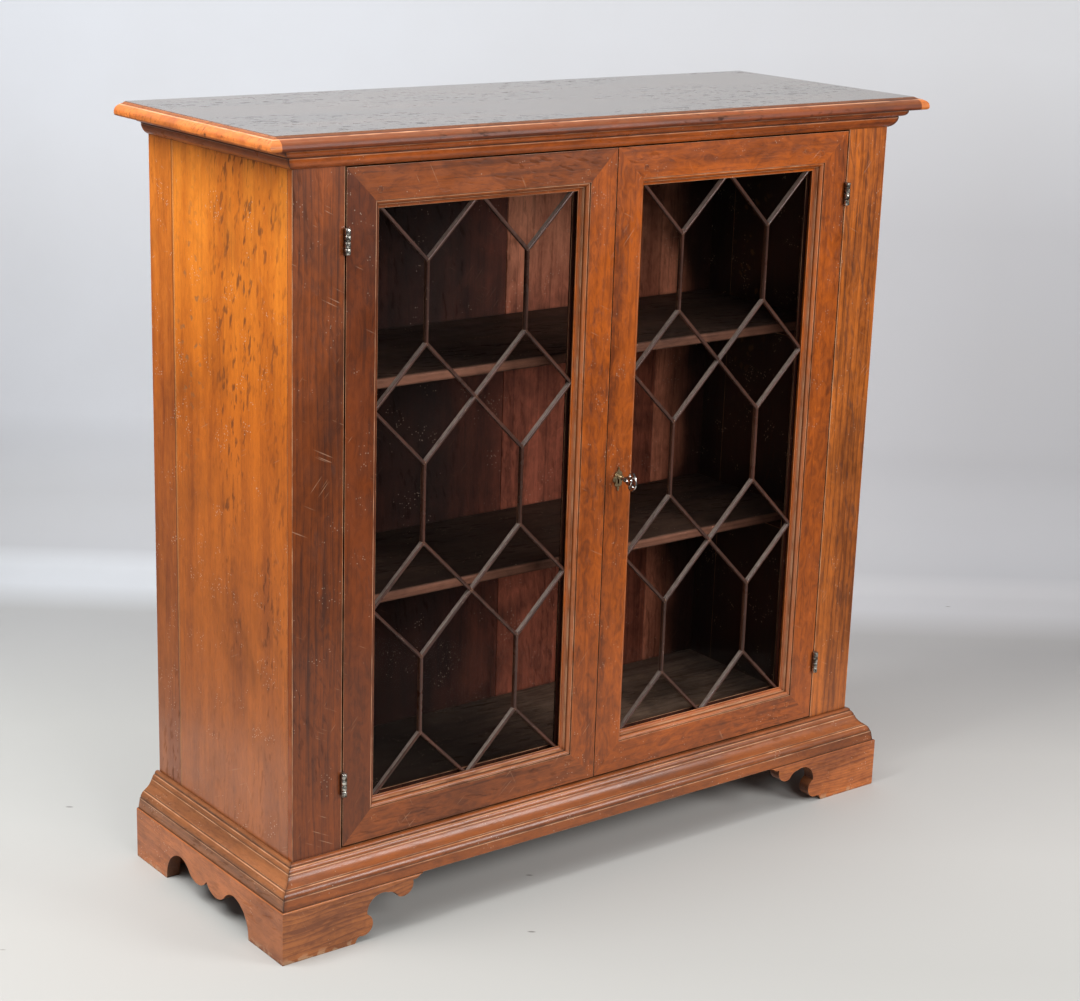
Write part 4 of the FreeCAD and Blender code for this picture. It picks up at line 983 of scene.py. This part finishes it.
def add_lights():
    world = bpy.data.worlds.new("world")
    world.use_nodes = True
    bpy.context.scene.world = world
    background = world.node_tree.nodes["Background"]
    background.inputs["Color"].default_value = WORLD_COLOUR
    background.inputs["Strength"].default_value = WORLD_STRENGTH
    for name, (place, aim, width, height, power) in LAMPS.items():
        lamp = bpy.data.lights.new(name, "AREA")
        lamp.shape = "RECTANGLE"
        lamp.size = width
        lamp.size_y = height
        lamp.energy = power
        holder = bpy.data.objects.new(name, lamp)
        bpy.context.scene.collection.objects.link(holder)
        holder.location = place
        direction = Vector(aim) - Vector(place)
        holder.rotation_mode = "QUATERNION"
        holder.rotation_quaternion = direction.to_track_quat("-Z", "Y")


# The stage, in metres out from below the camera: where the floor begins and curves up into the
# wall, the curve's radius and steps, the wall's height, and how wide the stage is at each distance
STAGE_STARTS = (0.8, 3.0)
STAGE_CURVE = 4.30
STAGE_BEND = 0.22
STAGE_BEND_STEPS = 12
STAGE_HEIGHT = 3.2
STAGE_WIDENING = 0.24
STAGE_MARGIN = 0.25
STAGE_ROUGHNESS = 0.75

# The backdrop's colours, with painted light and shade in them: the near floor's at its left and
# right, and then each further band, by the axis on which it begins and is full, with its own left and
# right shade. The floor is painted darker to the right and before the curve, and the wall lighter
# upwards.
NEAR_FLOOR_LIGHT_AND_SHADE = ((191, 191, 187), (184, 183, 179))
BACKDROP_LIGHT_BANDS = (
    (1, 2.75, 3.10, (201, 201, 197), (196, 194, 190)),
    (1, 3.50, 4.00, (188, 188, 187), (169, 167, 166)),
    (1, 4.07, 4.22, (223, 226, 230), (194, 193, 195)),
    (2, 0.002, 0.022, (197, 198, 201), (178, 178, 181)),
    (2, 0.11, 0.27, (221, 223, 228), (187, 187, 190)),
    (2, 0.70, 1.05, (218, 221, 227), (204, 205, 208)),
)
FLOOR_TOP = 0.001
MOTTLE_SHADE = srgb(190, 188, 186)
SPECK_SHADE = srgb(110, 106, 102)


def stage_material():
    material, graph, shader = new_material("stage")
    place = graph.coordinates("Object")
    parts = graph.split(place)
    # Painted light and shade on the backdrop: lighter at the left, and banded by distance and height
    rightward = graph.remap(parts[0], -0.9, 0.9)
    left, right = NEAR_FLOOR_LIGHT_AND_SHADE
    colour = graph.mix(rightward, srgb(*left), srgb(*right))
    for axis, start, end, left, right in BACKDROP_LIGHT_BANDS:
        reached = graph.remap(parts[axis], start, end)
        colour = graph.mix(reached, colour, graph.mix(rightward, srgb(*left), srgb(*right)))
    mottle = graph.remap(graph.noise(place, 3.0, 4.0, 0.6), 0.3, 0.7, 0.0, 0.12)
    colour = graph.mix(mottle, colour, MOTTLE_SHADE)
    specks = graph.spots(place, *FLOOR_SPECKS)
    specks = graph.times(specks, graph.math("LESS_THAN", parts[2], FLOOR_TOP))
    colour = graph.mix(graph.times(specks, 0.8), colour, SPECK_SHADE)
    graph.fill(shader, {"Base Color": colour, "Roughness": STAGE_ROUGHNESS})
    return material


def add_stage():
    """A paper floor that curves up into the wall behind, a little wider than the picture."""
    profile = [(out, 0.0) for out in STAGE_STARTS]
    for step in range(STAGE_BEND_STEPS + 1):
        turn = math.radians(90) * step / STAGE_BEND_STEPS
        out = STAGE_CURVE + STAGE_BEND * math.sin(turn)
        profile.append((out, STAGE_BEND - STAGE_BEND * math.cos(turn)))
    profile.append((STAGE_CURVE + STAGE_BEND, STAGE_HEIGHT))
    points = []
    for out, height in profile:
        reach = out * STAGE_WIDENING + STAGE_MARGIN
        points.append((-reach, out, height))
        points.append((reach, out, height))
    faces = []
    for row in range(len(profile) - 1):
        low = row * 2
        faces.append((low, low + 1, low + 3, low + 2))
    mesh = bpy.data.meshes.new("stage")
    mesh.from_pydata(points, [], faces)
    for face in mesh.polygons:
        face.use_smooth = True
    mesh.materials.append(stage_material())
    stage = bpy.data.objects.new("stage", mesh)
    stage.location = (CAMERA_PLACE[0], CAMERA_PLACE[1], 0)
    stage.rotation_euler = (0, 0, math.radians(CAMERA_YAW))
    bpy.context.scene.collection.objects.link(stage)


# The wooden pieces by their finish, the way the grain runs and the width of the worn edges in
# metres. Their order sets how each one's grain is shifted.
WOODEN_ROWS = (
    ("top", "x_face_z", 0.0012, "top_board"),
    ("moulding", "x_face_y", 0.0003, "cornice_front"),
    ("side_moulding", "y_face_x", 0.0003, "cornice_left", "cornice_right"),
    ("side", "z_face_x", 0.0008, "left_side_front_plank", "right_side_front_plank"),
    ("side_rear", "z_face_x", 0.0008, "left_side_rear_plank", "right_side_rear_plank"),
    ("stile", "z_face_y", 0.0012, "face_stile_left"),
    ("stile_bright", "z_face_y", 0.0012, "face_stile_right"),
    ("door", "x_face_y", 0.0008, "top_rail", "bottom_rail"),
    ("floor_board", "x_face_z", 0.0008, "bottom_board"),
    ("inside", "x_face_y", 0.0008, "door_stop_bottom", "door_stop_top", "rear_top_cleat"),
    # The back boards' finishes hold painted shade on the darker boards and painted light on the
    # brighter ones
    ("inside", "z_face_y", 0.0006, "back_board_1"),
    ("back_dark", "z_face_y", 0.0006, "back_board_2"),
    ("back_red", "z_face_y", 0.0006, "back_board_3"),
    ("back_bright", "z_face_y", 0.0006, "back_board_4"),
    ("shelf", "x_face_z", 0.0008, "shelf_upper", "shelf_lower"),
    ("inside", "y_face_x", 0.0008, "shelf_cleats"),
    ("base_moulding", "x_face_y", 0.0003, "base_moulding_front"),
    ("base_side", "y_face_x", 0.0003, "base_moulding_left"),
    ("base_moulding", "y_face_x", 0.0003, "base_moulding_right"),
    ("foot", "x_face_y", 0.0010, "front_foot_left"),
    ("foot_warm", "x_face_y", 0.0010, "front_foot_right"),
    ("apron", "y_face_x", 0.0010, "side_apron_left", "side_apron_right"),
    ("foot", "x_face_y", 0.0010, "rear_foot_left", "rear_foot_right"),
    ("raw", "z_face_y", 0.0010, "glue_blocks"),
)
WOODEN = {}
for finish, grain, width, *names in WOODEN_ROWS:
    for name in names:
        WOODEN[name] = (finish, grain, width)
# The left door's darker finishes are partly painted shade
for hand, hinge_finish, stile_finish in (
    ("left", "door_dark", "door_darkest"),
    ("right", "door", "door"),
):
    WOODEN[f"{hand}_hinge_stile"] = (stile_finish, "z_face_y", 0.0010)
    WOODEN[f"{hand}_meeting_stile"] = ("door", "z_face_y", 0.0010)
    WOODEN[f"{hand}_top_rail"] = (hinge_finish, "x_face_y", 0.0010)
    WOODEN[f"{hand}_bottom_rail"] = (hinge_finish, "x_face_y", 0.0010)
    WOODEN[f"{hand}_glazing_bars"] = ("bars", "z_face_y", 0.0003)
    WOODEN[f"{hand}_glazing_beads"] = ("inside", "z_face_y", 0.0005)
    WOODEN[f"{hand}_door_pegs"] = (hinge_finish, "y_face_x", 0.0004)

# Each moulded piece: which quirks and arrises it has
TRIMS = {"top_board": "top"}
for end in ("front", "left", "right"):
    TRIMS[f"base_moulding_{end}"] = "base"
    TRIMS[f"cornice_{end}"] = "cornice"
for hand in ("left", "right"):
    for member in ("hinge_stile", "meeting_stile", "top_rail", "bottom_rail"):
        TRIMS[f"{hand}_{member}"] = "door"

# Angles between faces, in degrees: up to which they are merged, and from which their arris is worn
# round or shaded with a crease
FLAT_ANGLE = 1.0
WORN_ANGLE = 22
CREASE_ANGLE = 40
HINGE_CREASE_ANGLE = 50
WORN_SEGMENTS = 2
WORN_PROFILE = 0.55
MERGE_DISTANCE = 0.00001
MITRE_SLACK = 0.02
NORMAL_WEIGHT = 90


def at_mitre(edge):
    """True for the arris of a mitred end, where two pieces meet and nothing is rounded."""
    for face in edge.link_faces:
        least, middle, most = sorted(abs(part) for part in face.normal)
        if least < MITRE_SLACK and abs(middle - most) < MITRE_SLACK:
            return True
    return False


def smooth_faces(shape, crease):
    """Shades the faces smooth, with a crease where two of them meet at more than an angle."""
    for face in shape.faces:
        face.smooth = True
    for edge in shape.edges:
        if len(edge.link_faces) == 2 and edge.calc_face_angle() > math.radians(crease):
            edge.smooth = False


def add_piece(shape, name, node_name):
    """The mesh as an object that rides on the body of a node and stands in for it."""
    mesh = bpy.data.meshes.new(name)
    shape.to_mesh(mesh)
    shape.free()
    piece = bpy.data.objects.new(name, mesh)
    bpy.context.scene.collection.objects.link(piece)
    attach(piece, body_of_node[node_name])
    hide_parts(node_name)
    return piece


def worn_copy(name, width):
    """A piece with its arrises rounded by wear, in place of the sharp solid."""
    shape = bmesh.new()
    shape.from_mesh(nodes[name].data)
    bmesh.ops.remove_doubles(shape, verts=shape.verts, dist=MERGE_DISTANCE)
    bmesh.ops.dissolve_limit(
        shape, angle_limit=math.radians(FLAT_ANGLE), verts=shape.verts, edges=shape.edges
    )
    worn = shape.faces.layers.float.new("worn")
    sharp = [
        edge
        for edge in shape.edges
        if len(edge.link_faces) == 2 and edge.calc_face_angle() > math.radians(WORN_ANGLE)
    ]
    bevelled = bmesh.ops.bevel(
        shape,
        geom=[edge for edge in sharp if not at_mitre(edge)],
        offset=width,
        segments=WORN_SEGMENTS,
        profile=WORN_PROFILE,
        affect="EDGES",
        clamp_overlap=True,
    )
    for face in bevelled["faces"]:
        face[worn] = 1.0
    smooth_faces(shape, CREASE_ANGLE)
    piece = add_piece(shape, f"{name}_worn", name)
    normals = piece.modifiers.new("normals", "WEIGHTED_NORMAL")
    normals.keep_sharp = True
    normals.weight = NORMAL_WEIGHT
    return piece


def add_wooden_pieces():
    for seed, (name, (finish, grain, width)) in enumerate(WOODEN.items(), start=1):
        piece = worn_copy(name, width)
        slot_name = nodes[name].data.materials[0].name.split(".")[0]
        piece.data.materials.append(wood(name, finish, grain, seed, TRIMS.get(name)))


# Each metal: its bright and tarnished colours, its roughness, and its patches in a metre
METALS = {
    "brass": ((242, 216, 168), (112, 84, 54), 0.22, 260.0),
    "hinge_brass": ((228, 224, 214), (76, 70, 60), 0.22, 150.0),
    "steel": ((222, 220, 216), (54, 49, 44), 0.16, 320.0),
    "iron": ((120, 112, 104), (62, 54, 48), 0.45, 60.0),
}
TARNISH_DULLNESS = 0.25
PITS_PER_METRE = 900.0
PIT_DEPTH = 0.0001
PIT_STRENGTH = 0.5

# Old glass, a little green and wavy. Its low index keeps the inside of the cabinet clear.
GLASS = {
    "Base Color": (0.97, 0.985, 0.975, 1.0),
    "Roughness": 0.0,
    "IOR": 1.07,
    "Transmission Weight": 1.0,
}
GLASS_WAVES_PER_METRE = 9.0
GLASS_WAVE_DEPTH = 0.0006
GLASS_WAVE_STRENGTH = 0.3


def metal(name):
    bright, tarnish, rough, patches_per_metre = METALS[name]
    material, graph, shader = new_material(name)
    place = graph.coordinates("Object")
    patches = graph.noise(place, patches_per_metre, 4.0, 0.65)
    patches = graph.remap(patches, *SHOWS["metal"])
    pits = graph.noise(place, PITS_PER_METRE)
    inputs = {
        "Base Color": graph.mix(patches, srgb(*bright), srgb(*tarnish)),
        "Roughness": graph.remap(patches, 0.0, 1.0, rough, rough + TARNISH_DULLNESS),
        "Metallic": 1.0,
        "Normal": graph.bump(pits, PIT_DEPTH, PIT_STRENGTH),
    }
    graph.fill(shader, inputs)
    return material


def glass():
    material, graph, shader = new_material("glass")
    waves = graph.noise(graph.coordinates("Object"), GLASS_WAVES_PER_METRE, 1.0)
    normal = graph.bump(waves, GLASS_WAVE_DEPTH, GLASS_WAVE_STRENGTH)
    graph.fill(shader, GLASS | {"Normal": normal})
    return material


# Hinges, with turned barrels in place of the solids' filed ones, in metres
FRONT = -0.1665
HINGE_AXIS_X = 0.432
HINGE_AXIS_Y = -0.171
HINGE_HEIGHT = 0.033
HINGE_LOWS = (0.203, 0.932)
KNUCKLES = 4
BARREL = 0.004
BARREL_ROUND = 0.0004
BARREL_SEGMENTS = 32
PIN_BORE = 0.0016
KNUCKLE_GAP = 0.0008
LEAF_FROM_AXIS = 0.001
LEAF_THICKNESS = 0.0008
LEAF_DEPTH = 0.017

# Each screw of a leaf: how far behind the front and above the leaf's foot, and its slot's turn
SCREWS = ((0.011, 0.0055, 0.4), (0.0065, 0.0165, 2.0), (0.011, 0.0275, 1.1))
SCREW_RADIUS = 0.0022
SCREW_PROUD = 0.00008
SCREW_SUNK = 0.0003
SCREW_STEPS = 14
SLOT_ANGLE = 0.12


def turned(shape, centre, profile):
    """A closed outline of radius and height pairs, turned about an upright axis."""
    rows = []
    for step in range(BARREL_SEGMENTS):
        turn = math.tau * step / BARREL_SEGMENTS
        across, away = math.cos(turn), math.sin(turn)
        rows.append(
            [
                shape.verts.new((centre[0] + radius * across, centre[1] + radius * away, height))
                for radius, height in profile
            ]
        )
    for step in range(BARREL_SEGMENTS):
        one, other = rows[step], rows[(step + 1) % BARREL_SEGMENTS]
        for number in range(len(profile)):
            following = (number + 1) % len(profile)
            shape.faces.new((one[number], other[number], other[following], one[following]))


def block(shape, x_ends, y_ends, z_ends):
    low_x, high_x = sorted(x_ends)
    corners = [
        shape.verts.new((x, y, z)) for z in z_ends for y in y_ends for x in (low_x, high_x)
    ]
    for loop in ((0, 2, 3, 1), (4, 5, 7, 6), (0, 1, 5, 4), (2, 6, 7, 3), (0, 4, 6, 2), (1, 3, 7, 5)):
        shape.faces.new([corners[number] for number in loop])


def screw_head(shape, face_x, outward, centre_y, centre_z, turn):
    """A slotted screw head, just proud of its leaf: two halves of a disc with a gap between."""
    x_ends = (face_x - SCREW_SUNK * outward, face_x + SCREW_PROUD * outward)
    for half in (0, 1):
        start = turn + math.pi * half
        rim = []
        for step in range(SCREW_STEPS + 1):
            angle = start + SLOT_ANGLE + (math.pi - 2 * SLOT_ANGLE) * step / SCREW_STEPS
            rim.append(
                (centre_y + SCREW_RADIUS * math.cos(angle), centre_z + SCREW_RADIUS * math.sin(angle))
            )
        rows = [[shape.verts.new((x, y, z)) for y, z in rim] for x in x_ends]
        shape.faces.new(rows[0])
        shape.faces.new(rows[1])
        for number in range(len(rim)):
            following = (number + 1) % len(rim)
            shape.faces.new(
                (rows[0][number], rows[0][following], rows[1][following], rows[1][number])
            )


def hinge_leaf(shape, side, low, on_door):
    """A leaf in the gap beside the door, its necks, and every other knuckle of the barrel."""
    axis_x = side * HINGE_AXIS_X
    inward = -side if on_door else side
    x_ends = (
        axis_x + LEAF_FROM_AXIS * inward,
        axis_x + (LEAF_FROM_AXIS - LEAF_THICKNESS) * inward,
    )
    block(shape, x_ends, (FRONT, FRONT + LEAF_DEPTH), (low, low + HINGE_HEIGHT))
    for number, (back, rise, turn) in enumerate(SCREWS):
        turn += side + number + low + on_door
        screw_head(shape, x_ends[1], -inward, FRONT + back, low + rise, turn)
    pitch = HINGE_HEIGHT / KNUCKLES
    on_left = on_door == (side > 0)
    for number in range(KNUCKLES):
        if (number % 2 == 1) != on_left:
            continue
        bottom = low + pitch * number + (KNUCKLE_GAP / 2 if number else 0)
        top = low + pitch * (number + 1) - (KNUCKLE_GAP / 2 if number < KNUCKLES - 1 else 0)
        profile = [
            (PIN_BORE, bottom),
            (BARREL - BARREL_ROUND, bottom),
            (BARREL, bottom + BARREL_ROUND),
            (BARREL, top - BARREL_ROUND),
            (BARREL - BARREL_ROUND, top),
            (PIN_BORE, top),
        ]
        turned(shape, (axis_x, HINGE_AXIS_Y), profile)
        block(shape, x_ends, (HINGE_AXIS_Y + PIN_BORE, FRONT), (bottom, top))


def hinge_leaves(name, sides, on_door, material):
    shape = bmesh.new()
    for side in sides:
        for low in HINGE_LOWS:
            hinge_leaf(shape, side, low, on_door)
    bmesh.ops.recalc_face_normals(shape, faces=shape.faces)
    smooth_faces(shape, HINGE_CREASE_ANGLE)
    piece = add_piece(shape, f"{name}_turned", name)
    piece.data.materials.append(material)


def add_metal_and_glass():
    brass, hinge_brass, steel, iron = (metal(name) for name in METALS)
    pane = glass()
    hinge_leaves("hinge_frame_leaves", (-1, 1), False, hinge_brass)
    hinge_leaves("left_hinge_door_leaves", (-1,), True, hinge_brass)
    hinge_leaves("right_hinge_door_leaves", (1,), True, hinge_brass)
    nodes["hinge_pins"].material_slots[0].material = steel

    # Each metal piece: its material, its slot, and the width of its worn edges in metres
    for name, (material, slot_name, width) in {
        "escutcheon": (brass, "aged_brass", 0.0003),
        "key": (steel, "key_steel", 0.0008),
        "lock_case": (iron, "iron", 0.0004),
        "lock_bolt": (brass, "aged_brass", 0.0003),
        "flush_bolt_plates": (brass, "aged_brass", 0.0002),
        "flush_bolt_top": (brass, "aged_brass", 0.0003),
        "flush_bolt_bottom": (brass, "aged_brass", 0.0003),
    }.items():
        piece = worn_copy(name, width)
        piece.data.materials.append(material)
    for name in ("left_glass", "right_glass"):
        nodes[name].material_slots[0].material = pane
        nodes[name].visible_shadow = False
        nodes[name].visible_diffuse = False


add_camera()
add_lights()
add_stage()
bpy.context.scene.view_settings.view_transform = "Standard"
add_wooden_pieces()
add_metal_and_glass()
